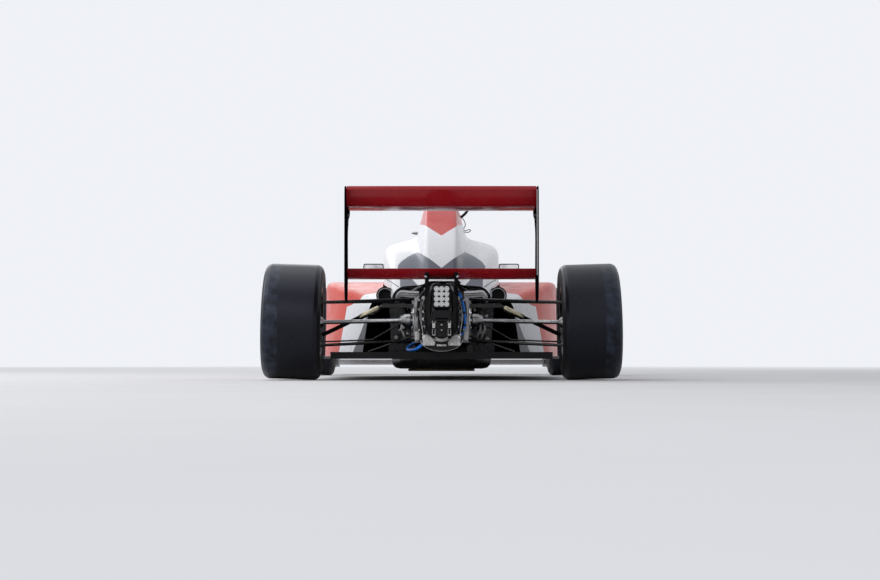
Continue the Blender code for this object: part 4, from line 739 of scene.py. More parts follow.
def add_wheel(end, name, matrix):
    lip = WHEELS[end][2]
    seat, face = lip - 0.01, lip - SPOKE_INSET
    body = f"{end}_{name}_wheel"

    def fitted(kind, solid, look, *more):
        piece(kind, placed(solid, matrix), look, body, *more)

    barrel = lathe(rounded((
        (lip - 0.001, 0.164, 0.002), (lip, RIM_LIP - 0.001, 0.002), (seat, RIM_LIP, 0.002),
        (seat - 0.001, RIM_RADIUS, 0.003), (-seat, RIM_RADIUS, 0.003), (-seat, RIM_LIP, 0.002),
        (-lip, RIM_LIP, 0.002), (-lip, 0.16, 0.003), (0.04 - lip, 0.157, 0.02), (face - 0.02, 0.155, 0.01),
        (face + 0.012, 0.155, 0.006), (face + 0.022, 0.162, 0.005),
    ), 3), 96, ring=True)
    hub = lathe([
        (0.005, 0.021), (0.005, 0.046), (0.009, HUB_RADIUS), (face - 0.006, HUB_RADIUS), (face, 0.046),
        (face + 0.001, 0.034), (face - 0.004, 0.03), (0.05, 0.0295), (0.05, 0.021)], 48, ring=True)
    peg = [(face + x, r) for x, r in ((-0.004, 0), (-0.004, 0.0045), (0.003, 0.0045), (0.004, 0.003), (0.004, 0))]
    pegs = round_axle(lambda: moved(lathe(peg, 10), 0, 0, 0.04), SPOKES)
    valve = swept([(face + 0.006, 0, 0.15), (face + 0.02, 0, 0.143), (face + 0.034, 0, 0.14)], 0.003, 8)
    spokes = round_axle(lambda: spoke(face), SPOKES, 0.5)
    rim = merged([barrel, hub, valve] + spokes + pegs)
    fitted(f"wheel_{end}_{name}_rim", rim, "rim", (f"wheel_{end}_{name}",), 40)
    nut = [(-0.004, 0), (-0.004, NUT_RADIUS), (0.004, NUT_RADIUS), (0.012, 0.024), (0.0155, 0.018),
           (0.0155, 0.011), (0.004, 0.01), (0.004, 0)]
    fitted(f"wheel_{end}_{name}_nut", lathe([(face + x, r) for x, r in nut], 12), "nut")
    disc = [hoop(start, start - 0.006, DISC_INNER, DISC_RADIUS, 72) for start in (DISC_FACE, DISC_BACK + 0.006)]
    vane = (DISC_BACK + 0.004, -0.0012, DISC_INNER + 0.003), (DISC_FACE - 0.004, 0.0012, DISC_RADIUS - 0.003)
    disc += round_axle(lambda: box(*vane), DISC_VANES)
    disc += round_axle(lambda: moved(drum(DISC_FACE - 0.002, DISC_FACE + 0.003, 0.005, 10), 0, 0, 0.0755), 10)
    fitted(f"brake_disc_{end}_{name}", merged(disc), "disc")
    bell = lathe([
        (0.0045, 0.03), (0.0045, 0.046), (0.002, 0.051), (DISC_FACE, 0.068), (DISC_FACE - 0.004, 0.072),
        (DISC_FACE - 0.007, 0.068), (0.0, 0.045), (-0.003, 0.03)], 48, ring=True)
    fitted(f"brake_bell_{end}_{name}", bell, "dark metal")


def add_wheels():
    for end in ("rear", "front"):
        for name, side in SIDES.items():
            matrix = hub_matrix(JOINTS[f"spin_{end}_{name}"], side)
            add_tyre(end, name, matrix)
            add_wheel(end, name, matrix)


# Body: sections along the car as in the solids, with more of them on smooth curves

TUB_CORNER = 0.055
TUB_SHARES = (
    (0.0, 0.88, 1.0, 0.0, 1.0), (0.18, 0.92, 1.0, 0.0, 0.99), (0.36, 0.9, 0.96, 0.0, 0.92),
    (0.55, 0.76, 0.82, 0.01, 0.81), (0.72, 0.6, 0.65, 0.05, 0.73), (0.86, 0.5, 0.55, 0.1, 0.66),
    (1.0, 0.42, 0.46, 0.16, 0.6),
)
COVER_SHARES = (
    (0.0, 1.0, 0.5, 1.0, 0.72, 0.44, 0.766, 0.24, 1.0),
    (0.32, 0.98, 0.5, 0.96, 0.69, 0.43, 0.722, 0.25, 0.925),
    (0.62, 0.9, 0.48, 0.86, 0.62, 0.39, 0.65, 0.25, 0.79),
    (0.84, 0.84, 0.44, 0.8, 0.54, 0.34, 0.56, 0.24, 0.64),
    (1.0, 0.8, 0.41, 0.76, 0.47, 0.3, 0.48, 0.2, 0.5),
)
COVER_CUTS = (0, 0.06, 0.03, 0.014)
# Share along the pod from its back, where its top starts (of the cover's half), ends and stands (of its own)
POD_SHARES = (
    (0.0, 0.867, 0.57, 0.64, 0.76), (0.14, 0.887, 0.68, 0.78, 0.83), (0.32, 0.992, 0.84, 0.92, 0.91),
    (0.55, 1.008, 0.98, 1.0, 0.985), (0.8, 0.978, 1.0, 1.0, 0.99), (1.0, 0.958, 0.92, 0.96, 0.93),
)
POD_TOP = 0.99
POD_CORNER = 0.045
NOSE_SHARES = (
    (0.0, 1.0, 0.0, 1.0), (0.35, 0.86, 0.02, 0.82), (0.7, 0.66, 0.05, 0.6), (0.93, 0.44, 0.1, 0.42),
    (1.0, 0.22, 0.18, 0.32),
)
BODY_STEPS = 10
REAR_Y = JOINTS["spin_rear_left"]["pos_m"][1]
FRONT_Y = JOINTS["spin_front_left"]["pos_m"][1]
# Seen from behind, at the rear axle: half width and height of the red point and of the grey lobes
RED_POINT = ((0.0, 0.722), (0.083, 0.774), (0.3, 0.8))
GREY_LOBES = (
    (0.0, 0.56), (0.055, 0.603), (0.118, 0.64), (0.165, 0.618), (0.205, 0.59), (0.222, 0.565), (0.224, 0.44),
)
PANEL_TOP = 0.53
PANEL_FOOT = 0.455
PANEL_OUTER = 0.2075
PANEL_INNER = 0.17
PANEL_SLANT = 0.9
TAIL_SEAM = ((0.268, 0.5), (0.24, 0.482), (0.212, 0.463))
# Lips in the mouth of the cover's tail: look, share down the mouth and thickness
TAIL_LIPS = (("white", 0.0, 0.011), ("worn alloy", 0.3, 0.008), ("white", 0.52, 0.008), ("dark metal", 0.78, 0.01))
LIP_LINE = ((0.232, 0.42), (0.224, 0.438), (0.204, 0.452), (0.16, 0.449), (0.114, 0.447))


def cover_rings(half, top, front, back):
    rings = []
    for along, *row in smoothed(COVER_SHARES, BODY_STEPS):
        side = [(half * x, top * z, cut) for x, z, cut in zip(row[::2], row[1::2], COVER_CUTS)]
        outer = rounded(side + [(-x, z, cut) for x, z, cut in reversed(side)], closed=False, runs=6)
        rings.append(across(mixed(front, back, along), outer + offset(outer, 0.003)[::-1]))
    return rings


def seen(co):
    """Half width and height, level with the rear axle, at which the low camera behind the car sees a place."""
    _, eye_y, eye_z = CAMERA_PLACE
    share = (REAR_Y - eye_y) / (co.y - eye_y)
    return abs(co.x) * share, eye_z + (co.z - eye_z) * share


def line_height(points, half):
    for (u0, z0), (u1, z1) in zip(points, points[1:]):
        if half <= u1:
            return mixed(z0, z1, (half - u0) / (u1 - u0))
    return -1.0


def add_cover():
    low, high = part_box("engine_cover")
    shell = loft(cover_rings(high.x, high.z, high.y, low.y))
    made = piece("engine_cover_shell", shell, "cover", stands_for=("engine_cover",), angle=30)
    cut_by(made, [outlet_space(name) for name in SIDES])

    def red_area(co):
        half, height = seen(co)
        return 2 * (height - line_height(RED_POINT, half)) if co.z > 0.5 else -1.0

    def grey_area(co):
        half, height = seen(co)
        if height > PANEL_TOP:
            return 2 * (line_height(GREY_LOBES, half) - height)
        inner = PANEL_INNER - (PANEL_TOP - height) * PANEL_SLANT
        return 2 * min(height - PANEL_FOOT, PANEL_OUTER - half, half - inner)

    attribute(made, "red_area", red_area)
    attribute(made, "grey_area", grey_area)
    blacken_inside(made)
    add_cover_seams(made)


def add_cover_seams(cover):
    """Shut lines across the tail's flanks, laid on the cover where the low camera sees them."""
    eye = Vector((0, *CAMERA_PLACE[1:]))
    lines = []
    for side in SIDES.values():
        path = []
        for half, height in smoothed(TAIL_SEAM, 5):
            found, place, normal, _ = cover.ray_cast(eye, (Vector((side * half, REAR_Y, height)) - eye).normalized())
            if found:
                path.append(place + normal * GAP)
        lines.append(swept(path, 0.0016, 8))
    piece("tail_seams", merged(lines), "grip")


def add_tail_lips():
    """Layered edges of the heat shield under the cover's tail, each a little further ahead than the last."""
    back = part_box("engine_cover")[0].y
    for number, (look, share, thick) in enumerate(TAIL_LIPS):
        line = [Vector((x, z - share * 0.046)) for x, z in smoothed(LIP_LINE, 5)]
        lower = [point - Vector((0, thick)) for point in line]
        start = back - 0.04 + 0.013 * number
        solid = plate(line + lower[::-1], "y", start, start + 0.05, 0.0015)
        piece(f"tail_lip_{number + 1}", mirrored(solid), look)


def outlet_space(name):
    """The round hole that an outlet pipe takes through the cover."""
    low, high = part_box(f"outlet_{name}")
    hole = drum(-0.02, high.y - low.y + 0.02, (high.x - low.x) / 2 + 0.002, 40)
    return aligned(hole, ((low.x + high.x) / 2, low.y, (low.z + high.z) / 2), AHEAD)


def pod_rings(side, half, top, base, back, front):
    rings = []
    cover_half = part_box("engine_cover")[1].x
    for along, inner, high_half, low_half, share in smoothed(POD_SHARES, BODY_STEPS):
        outer = rounded((
            (side * cover_half * inner, top * share, 0),
            (side * half * min(1.0, high_half), top * share, POD_CORNER),
            (side * half * min(1.0, low_half), base, 0),
        ), 10, closed=False, runs=8)
        rings.append(across(mixed(back, front, along), outer + offset(outer, -side * 0.006)[::-1]))
    return rings


def pod_white(co, start):
    """Above zero behind the white's edge, which swings forward on the pod's top."""
    on_top = min(1.0, max(0.0, (co.z - 0.385) / 0.03))
    return 2 * (start + mixed(0.31, 0.15 + max(0.0, 0.437 - abs(co.x)), on_top) - co.y)


def add_pods():
    for name, side in SIDES.items():
        low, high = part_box(f"sidepod_{name}")
        half = max(abs(low.x), abs(high.x))
        solid = loft(pod_rings(side, half, high.z / POD_TOP, low.z, low.y, high.y))
        made = piece(f"sidepod_{name}_shell", solid, "pod", stands_for=(f"sidepod_{name}",), angle=30)
        attribute(made, "white_area", lambda co: pod_white(co, low.y))
        attribute(made, "grey_area", lambda co: 2 * (low.y + 0.125 - 0.5 * (co.z - low.z) - co.y))
        blacken_inside(made)


def blacken_inside(made):
    """Unpainted composite on the faces of a shell that look inward or back."""
    made.data.materials.append(LOOKS["dull carbon"])
    for face in made.data.polygons:
        inward = Vector((face.center.x, 0, face.center.z - 0.2)).dot(face.normal) < 0
        if inward or abs(face.normal.y) > 0.98:
            face.material_index = 1


def tub_rings(table, half, base, top, back, front, steps=BODY_STEPS):
    rings = []
    for along, low_half, high_half, bottom, high in smoothed(table, steps):
        heights = [mixed(base, top, share) for share in (bottom, high)]
        corners = four(half * low_half, half * high_half, *heights, TUB_CORNER)
        rings.append(across(mixed(back, front, along), rounded(corners)))
    return rings


def cut_by(made, tools):
    """Boolean cuts of a piece, applied to its mesh."""
    for tool in tools:
        bmesh.ops.recalc_face_normals(tool, faces=tool.faces)
        helper = linked("tool", mesh_of("tool", tool))
        step = made.modifiers.new("cut", "BOOLEAN")
        step.operation = "DIFFERENCE"
        step.solver = "EXACT"
        step.object = helper
        bpy.context.view_layer.update()
        graph = bpy.context.evaluated_depsgraph_get()
        result = bpy.data.meshes.new_from_object(made.evaluated_get(graph))
        made.modifiers.clear()
        made.data = result
        bpy.data.objects.remove(helper)
    made.data.shade_smooth()
    made.data.set_sharp_from_angle(angle=math.radians(SMOOTH_ANGLE))


COCKPIT_BACK = REAR_Y + 1.2
COCKPIT_FRONT = COCKPIT_BACK + 0.78
COCKPIT_HALF = 0.235
COCKPIT_NARROW = COCKPIT_HALF * 0.72
COCKPIT_CORNER = 0.055
FOOTWELL_CORNER = 0.027
# Place along the car, half width, foot and top of the footwell's two ends
FOOTWELL = ((COCKPIT_FRONT - 0.1, COCKPIT_NARROW - 0.01, 0.165, 0.48), (FRONT_Y + 0.02, 0.115, 0.235, 0.43))


def cockpit_outline(grow=0.0):
    wide, narrow = COCKPIT_HALF + grow, COCKPIT_NARROW + grow
    back, front = COCKPIT_BACK - grow, COCKPIT_FRONT + grow
    quarter = mixed(COCKPIT_BACK, COCKPIT_FRONT, 0.25)
    half = ((wide * 0.8, back), (wide, quarter), (narrow, front))
    whole = half + tuple((-x, y) for x, y in reversed(half))
    return rounded([(x, y, COCKPIT_CORNER) for x, y in whole[-1:] + whole[:-1]], 6)


def add_tub():
    low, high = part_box("tub")
    rings = tub_rings(TUB_SHARES, high.x, low.z, high.z, low.y, high.y)
    made = piece("tub_shell", loft(rings), "white", stands_for=("tub",))
    well = plate(cockpit_outline(), "z", 0.155, high.z + 0.05)
    footwell = loft([across(y, rounded(four(w, w, z0, z1, FOOTWELL_CORNER))) for y, w, z0, z1 in FOOTWELL])
    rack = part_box("steering_rack")[0]
    cut_by(made, [well, footwell, moved(drum(-0.4, 0.4, 0.0145, 24), 0, rack.y + 0.012, rack.z + 0.009)])


def tub_top(y):
    low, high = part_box("tub")
    t = (y - low.y) / (high.y - low.y)
    for first, second in zip(TUB_SHARES, TUB_SHARES[1:]):
        if first[0] <= t <= second[0]:
            return mixed(low.z, high.z, mixed(first[4], second[4], (t - first[0]) / (second[0] - first[0])))
    return high.z


def add_cockpit_rim():
    """A black edge strip round the cockpit's opening, on the tub's top."""
    path = [Vector((u, v, tub_top(v) + 0.0015)) for u, v in cockpit_outline(0.004)]
    rings = []
    for index, here in enumerate(path):
        wide = heading(path, index, True).cross(UP).normalized()
        rings.append([here + wide * 0.007 * math.cos(a) + UP * 0.005 * math.sin(a) for a in turns(10)])
    piece("cockpit_edge_strip", loft(rings + rings[:1], capped=False), "grip")


def add_nose():
    low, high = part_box("nose")
    tub_low, tub_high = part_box("tub")
    _, _, high_half, bottom, top = TUB_SHARES[-1]
    base = mixed(tub_low.z, tub_high.z, bottom)
    height = (tub_high.z - tub_low.z) * (top - bottom)
    rings = []
    for along, half_share, low_share, high_share in smoothed(NOSE_SHARES, BODY_STEPS):
        half = tub_high.x * high_half * half_share
        z0, z1 = base + height * low_share, base + height * high_share
        cut = min(TUB_CORNER, half * 0.7, (z1 - z0) * 0.42)
        rings.append(across(mixed(low.y, high.y, along), rounded(four(half * 0.9, half, z0, z1, cut))))
    piece("nose_shell", loft(rings), "white", stands_for=("nose",))


# Wings: look, chord, thickness, camber and angle, then the trailing edge's place and height

TAIL_Y = CAD_BOX[0][1]
TIP_Y = CAD_BOX[1][1]
FRONT_FLAP = ("red", 0.15, 0.014, 0.012, 18, TIP_Y - 0.44, 0.16)
PLANES = {
    "rear_wing_main": ("wing", 0.25, 0.022, 0.01, 1, TAIL_Y + 0.17, 0.85),
    "rear_wing_flap": ("wing", 0.15, 0.014, 0.014, 31, TAIL_Y + 0.022, 0.912),
    "beam_wing": ("wing", 0.165, 0.014, 0.01, 14, TAIL_Y + 0.15, 0.536),
    "front_wing_flap_left": FRONT_FLAP,
    "front_wing_flap_right": FRONT_FLAP,
}
PLANE_STEPS = 26


def plane_outline(chord, thickness, camber, degrees, back_y, back_z):
    upper, lower = [], []
    for step in range(PLANE_STEPS + 1):
        along = (1 - math.cos(math.pi * step / PLANE_STEPS)) / 2
        half = thickness / 2 * math.sqrt(along) * (1 - along) * 2.6
        arch = 4 * along * (1 - along) * camber
        edge = 0.0012 if step else 0
        upper.append((chord - along * chord, half - arch + edge))
        lower.append((chord - along * chord, -half - arch - edge))
    cos, sin = math.cos(math.radians(degrees)), math.sin(math.radians(degrees))
    return [(back_y + behind * cos - height * sin, back_z - behind * sin + height * cos)
            for behind, height in upper + lower[:0:-1]]


def add_wings():
    for node, (look, *plane) in PLANES.items():
        low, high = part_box(node)
        skin = plate(plane_outline(*plane), "x", low.x, high.x)
        piece(f"{node}_skin", skin, look, stands_for=(node,), angle=40)
    low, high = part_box("rear_wing_flap")
    edge = box((low.x + 0.004, TAIL_Y + 0.0215, 0.9045), (high.x - 0.004, TAIL_Y + 0.0235, 0.9215), 0.0006)
    piece("rear_wing_edge_strip", edge, "wing")


ENDPLATE_SCREWS = ((-1.76, 0.842), (-1.86, 0.839), (-1.95, 0.845), (-2.03, 0.866), (-2.09, 0.892),
                   (-1.93, 0.512), (-1.98, 0.524))


def add_endplate_fittings():
    """Screws along the wing planes, small slotted blocks on the inner faces, and on the right plate's inner edge a
    pale strip that is a painted highlight.
    """
    inner, outer = (corner.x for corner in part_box("rear_endplate_right"))
    screws = [stud((outer, y, z), RIGHT, 0.0055, 0.0022) for y, z in ENDPLATE_SCREWS]
    blocks = [box((inner - 0.009, -2.05, z - 0.006), (inner - GAP, -2.02, z + 0.006), 0.0015)
              for z in (0.79, 0.77, 0.748)]
    piece("rear_endplate_screws", mirrored(merged(screws)), "nut")
    piece("rear_endplate_blocks", mirrored(merged(blocks)), "plastic")
    # Only on the right plate's inner edge: a white strip that is a painted highlight.
    highlight_strip = box((inner - 0.0032, TAIL_Y + 0.006, 0.5), (inner - GAP, TAIL_Y + 0.012, 0.905), 0.0008)
    piece("rear_endplate_edge_trim", highlight_strip, "white")


# Rear end: lamp, crash structure, gearbox and what is mounted on them

LED_ROWS = 4
LED_COLUMNS = 3
LED_RADIUS = 0.0121
# Depth, and share of the radius
LED_PROFILE = ((0, 0), (0, 0.98), (0.0034, 0.98), (0.004, 0.92), (0.004, 0.3), (0.0052, 0.0))


def add_rain_light():
    low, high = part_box("rain_light")
    back = low.y
    case = box((low.x, back + 0.006, low.z), high, 0.009)
    rim = plate(rounded(four(high.x, high.x, low.z, high.z, 0.014), 6), "y", back + 0.004, back + 0.012, 0.002)
    piece("rain_light_case", merged([case, rim]), "plastic", stands_for=("rain_light",))
    lamps, rings = [], []
    for row in range(LED_ROWS):
        for column in range(LED_COLUMNS):
            x = (column - (LED_COLUMNS - 1) / 2) * 2 * LED_RADIUS
            z = (low.z + high.z) / 2 + (row - (LED_ROWS - 1) / 2) * 2 * LED_RADIUS
            lamp = lathe([(depth, share * LED_RADIUS) for depth, share in LED_PROFILE], 24)
            ring = hoop(0.0036, 0.0042, LED_RADIUS * 0.5, LED_RADIUS * 0.62, 24)
            lamps.append(aligned(lamp, (x, back + 0.005, z), BACK))
            rings.append(aligned(ring, (x, back + 0.005, z), BACK))
    piece("rain_light_lenses", merged(lamps), "lens")
    piece("rain_light_rings", merged(rings), "dark metal")


# Right half of the cover plate: x, then share down the plate. Frames: x and share of two corners
PLATE_CORNERS = ((0.041, 0.0, 0.006), (0.047, 0.55, 0.01), (0.043, 1.0, 0.012))
PLATE_FRAMES = (
    (0.03, 0.38, 0.032, 0.46), (0.043, 0.38, 0.045, 0.46), (0.03, 0.7, 0.032, 0.9), (0.043, 0.7, 0.045, 0.92),
    (0.03, 0.9, 0.045, 0.92),
)
SHIELD = ((0.043, -2.062, 0.438), (0.072, -2.0, 0.4), (0.078, -1.935, 0.3), (0.066, -1.9, 0.225),
          (0.05, -1.935, 0.232), (0.052, -2.02, 0.33))
SUPPORT_BOLTS = ((-1.955, 0.505), (-1.84, 0.445), (-1.82, 0.4), (-1.82, 0.26), (-1.88, 0.26))


def add_crash_details():
    """The black cover plate with its two hatches under the lamp, the side shields and the support bolts."""
    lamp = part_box("rain_light")[0]
    start = Vector((0, lamp.y + 0.016, lamp.z - 0.004))
    slope = Vector((0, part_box("crash_structure")[1].y - 0.135, 0.222)) - start
    out = Vector((0, slope.z, -slope.y)).normalized()
    turn = Matrix((RIGHT, slope.normalized(), -out)).transposed().to_4x4()
    at = Matrix.Translation(start) @ turn
    reach = slope.length
    corners = [(x, reach * share, cut) for x, share, cut in PLATE_CORNERS]
    whole = corners + [(-x, y, cut) for x, y, cut in reversed(corners)]
    shell = plate(rounded(whole, 4), "z", -0.016, 0.0005, 0.002)
    ridge = box((-0.03, reach * 0.3, -0.022), (0.03, reach * 0.36, -0.015), 0.0015)
    inner = box((-0.019, reach * 0.4, -0.021), (0.019, reach * 0.96, -0.015), 0.0015)
    piece("crash_cover_plate", placed(merged([shell, ridge, inner]), at), "gloss plastic")
    hatch = box((0.031, reach * 0.46, -0.0185), (0.044, reach * 0.64, -0.0155), 0.0008)
    piece("crash_cover_hatches", placed(mirrored(hatch), at), "lens")
    frames = [box((x0, reach * y0, -0.0182), (x1, reach * y1, -0.0157), 0.0004) for x0, y0, x1, y1 in PLATE_FRAMES]
    screws = [stud((0, reach * t, -0.0205), -UP, 0.0042, 0.002) for t in (0.5, 0.7)]
    piece("crash_cover_lines", placed(merged([mirrored(merged(frames))] + screws), at), "lens")
    front = [Vector(point) for point in SHIELD]
    shield = loft([front, [point + Vector((0.003, -0.004, 0)) for point in front]])
    piece("crash_side_shields", mirrored(shield), "dark metal")
    dressed("crash_structure", "carbon", 0.002)
    bolts = [bolt((0.0802, y, z), RIGHT, 0.0055, 0.004) for y, z in SUPPORT_BOLTS]
    bolts.append(bolt((0.075, -2.0105, 0.498), (0, -1, 0.3), 0.0035, 0.0025))
    piece("wing_support_bolts", mirrored(merged(bolts)), "nut")


def flange(place, axis, radius, depth, count, head=0.005):
    """A round flange with a ring of bolts on its face."""
    ring = lathe([(0, 0), (0, radius), (depth * 0.8, radius), (depth, radius * 0.94), (depth, 0)], 40)
    heads = round_axle(lambda: bolt((depth, 0, radius * 0.82), RIGHT, head), count)
    return aligned(merged([ring] + heads), place, axis)


def arc(radius, height, middle, start, end, steps):
    """Points (x, z) on part of an ellipse, from one half turn's share to another."""
    angles = [math.pi * mixed(start, end, step / steps) for step in range(steps + 1)]
    return [Vector((radius * math.cos(a), middle + height * math.sin(a))) for a in angles]


def add_gearbox_details():
    """Ribs, flanges, bolts and clips on both sides, and in the middle the keel with a bright rim along its lower edge
    that is a painted highlight.
    """
    dressed("gearbox", "dark metal", 0.004)
    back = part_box("gearbox")[0].y
    ribs = []
    for y in (-1.3, -1.38, -1.46, -1.6, -1.66, -1.72):
        half = mixed(0.15, 0.128, (y + 1.3) / -0.42)
        ribs.append(box((half - 0.03, y - 0.004, 0.185), (half + 0.004, y + 0.004, 0.405), 0.0025))

    def behind(points):
        return [(x, back + y, z) for x, y, z in points]

    bright = [flange((0.133, REAR_Y, 0.297), RIGHT, 0.062, 0.012, 8),
              flange((0.05, back - 0.002, 0.3), (0.35, -1, 0), 0.03, 0.008, 6, 0.0035),
              box((0.062, back - 0.02, 0.196), (0.094, back + 0.02, 0.214), 0.004),
              tube(behind([(0.086, -0.012, 0.215), (0.098, -0.01, 0.29), (0.094, -0.006, 0.36),
                           (0.074, -0.004, 0.41)]), 0.0055, 10, 0.6)]
    bright += [bolt((0.088, back + 0.022, z), (0.5, -1, 0), 0.006, 0.008) for z in (0.225, 0.262, 0.3, 0.338, 0.375)]
    bright += [bolt((x, back - 0.05, z), BACK, 0.0042, 0.004)
               for x, z in ((0.084, 0.178), (0.05, 0.178), (0.083, 0.212))]
    dark = tube(behind([(0.1, 0.004, 0.235), (0.116, 0.016, 0.31), (0.108, 0.014, 0.395), (0.078, 0.004, 0.44),
                        (0.03, -0.03, 0.468)]), 0.0075, 10)
    wedge = rounded(((0.092, 0.17, 0.004), (0.09, 0.222, 0.01), (0.074, 0.226, 0.008), (0.03, 0.186, 0.006),
                     (0.034, 0.17, 0.004)), 4)
    alloy = [plate(wedge, "y", back - 0.05, back - 0.034, 0.002),
             tube(behind([(0.079, -0.052, 0.252), (0.062, -0.054, 0.222), (0.036, -0.056, 0.199), (0, -0.058, 0.19)]),
                  0.0032, 8),
             box((0.108, back + 0.012, 0.196), (0.13, back + 0.04, 0.24), 0.004),
             tube(behind([(0.112, 0.012, 0.262), (0.117, 0.014, 0.3), (0.112, 0.016, 0.33)]),
                  [0.004] * 4 + [0.0065] * 5 + [0.004] * 4, 10, 0.7)]
    alloy += [stud((0.11, back + 0.006, z), BACK, 0.0062, 0.01) for z in (0.246, 0.346, 0.392)]
    crescent = arc(0.033, 0.024, 0.214, 1, 2, 16) + arc(0.026, 0.011, 0.214, 2, 1, 16)[1:-1]
    middle = [plate(crescent, "y", back - 0.064, back - 0.05, 0.001),
              box((-0.024, back - 0.062, 0.166), (0.024, back - 0.045, 0.176), 0.003)]
    keel = arc(0.098, 0.052, 0.196, 1, 2, 24)
    # A thin steel rim along the keel's lower edge: a painted highlight on that edge.
    rim = [(x * 1.02, back - 0.034, z * 1.02 - 0.004) for x, z in keel]
    piece("gearbox_alloy_parts", merged([mirrored(merged(alloy))] + middle), "worn alloy")
    piece("gearbox_ribs", mirrored(merged(ribs)), "casting")
    piece("gearbox_flanges", merged([mirrored(merged(bright)), swept(rim, 0.0022, 8)]), "steel")
    hull = loft([across(back + d, keel) for d in (0.05, -0.035)])
    piece("gearbox_clips", merged([mirrored(dark), hull]), "plastic")


def add_canisters():
    """Small alloy reservoirs on the floor beside the gearbox, on their brackets."""
    cans, caps = [], []
    for x in (0.246, 0.2):
        at = (x, -1.42, 0.16)
        can = [(0, 0), (0, 0.019), (0.004, 0.022), (0.085, 0.022), (0.089, 0.019), (0.089, 0)]
        cap = [(-0.012, 0), (-0.012, 0.012), (-0.002, 0.013), (-0.002, 0.0235), (0.01, 0.0235), (0.01, 0)]
        cans.append(aligned(lathe(can, 28), at, AHEAD))
        caps.append(aligned(lathe(cap, 24), at, AHEAD))
        caps.append(box((x - 0.024, -1.4, 0.1185), (x + 0.024, -1.37, 0.142), 0.002))
    piece("reservoirs", mirrored(merged(cans)), "nut")
    piece("reservoir_caps_and_feet", mirrored(merged(caps)), "dark metal")


# Hoses and looms as the solids have them: name, look, radius, then points as (x, ahead of the axle, height)
HOSES = (
    ("blue_hose_right", "blue", 0.006, (
        (0.03, -0.22, 0.428), (0.046, -0.242, 0.457), (0.076, -0.25, 0.44), (0.099, -0.26, 0.395),
        (0.112, -0.265, 0.33), (0.114, -0.262, 0.27), (0.1, -0.24, 0.228), (0.072, -0.215, 0.215))),
    ("loom_left", "hose", 0.0065, (
        (-0.03, -0.22, 0.43), (-0.07, -0.18, 0.428), (-0.096, -0.03, 0.4275), (-0.098, 0.17, 0.4325),
        (-0.1, 0.33, 0.437), (-0.106, 0.42, 0.455))),
    ("loom_right", "hose", 0.0065, (
        (0.0, -0.21, 0.43), (0.066, -0.17, 0.428), (0.096, -0.03, 0.4275), (0.098, 0.17, 0.4325),
        (0.1, 0.33, 0.437), (0.106, 0.42, 0.455))),
    ("lamp_loom", "hose", 0.0065, (
        (-0.012, -0.222, 0.43), (-0.012, -0.246, 0.466), (-0.018, -0.3, 0.47), (-0.016, -0.4, 0.469),
        (-0.012, -0.495, 0.468), (-0.012, -0.515, 0.45))),
    ("blue_hose_low", "blue", 0.0074, (
        (-0.115, 0.03, 0.195), (-0.16, 0.0, 0.168), (-0.17, -0.045, 0.153), (-0.15, -0.11, 0.148),
        (-0.125, -0.16, 0.153), (-0.098, -0.182, 0.172), (-0.068, -0.182, 0.205))),
)
HOSE_CLIPS = (3, 4, 5)


def add_hoses():
    """Hoses along their routes, the block that they come out of, and clips round the blue one."""
    for name, look, radius, route in HOSES:
        path = [Vector((x, REAR_Y + ahead, z)) for x, ahead, z in route]
        solid = tube(path, radius, 14, steps=8)
        if name == "blue_hose_right":
            piece(name, solid, look, stands_for=("hoses",))
            clips = [aligned(hoop(-0.004, 0.004, radius, radius + 0.0022, 16), path[k], heading(path, k))
                     for k in HOSE_CLIPS]
            piece("hose_clips", merged(clips), "plastic")
        else:
            piece(name, solid, look)
    back = REAR_Y - 0.24
    block = [box((-0.05, back, 0.4005), (0.05, back + 0.04, 0.44), 0.004)]
    block += [stud((x, back + 0.006, 0.44), UP, 0.0045, 0.003) for x in (-0.038, 0.016, 0.042)]
    piece("connector_block", merged(block), "plastic")


# Unions and sensor bodies in the engine bay: place and radius, and their outline as depth and share of the radius
BAY_FITTINGS = (
    (-0.196, -1.19, 0.268, 0.01), (-0.214, -1.19, 0.254, 0.007), (-0.176, -1.19, 0.236, 0.008),
    (-0.15, -1.2, 0.352, 0.008), (0.232, -1.19, 0.326, 0.009), (0.25, -1.19, 0.3, 0.007),
    (0.172, -1.2, 0.356, 0.008), (0.205, -1.19, 0.24, 0.009), (-0.232, -1.19, 0.214, 0.012),
    (0.236, -1.19, 0.206, 0.013), (-0.168, -1.2, 0.398, 0.006), (0.158, -1.2, 0.4, 0.006),
)
FITTING = ((0, 0), (0, 1), (0.01, 1), (0.012, 0.7), (0.022, 0.7), (0.022, 0))
TRUMPET = ((0, 0), (0, 0.034), (0.02, 0.036), (0.055, 0.026), (0.085, 0.03), (0.095, 0.04), (0.09, 0.036),
           (0.05, 0.02), (0.05, 0))
ENGINE_CAN = ((0, 0), (0, 0.033), (0.09, 0.033), (0.1, 0.026), (0.12, 0.026), (0.12, 0))


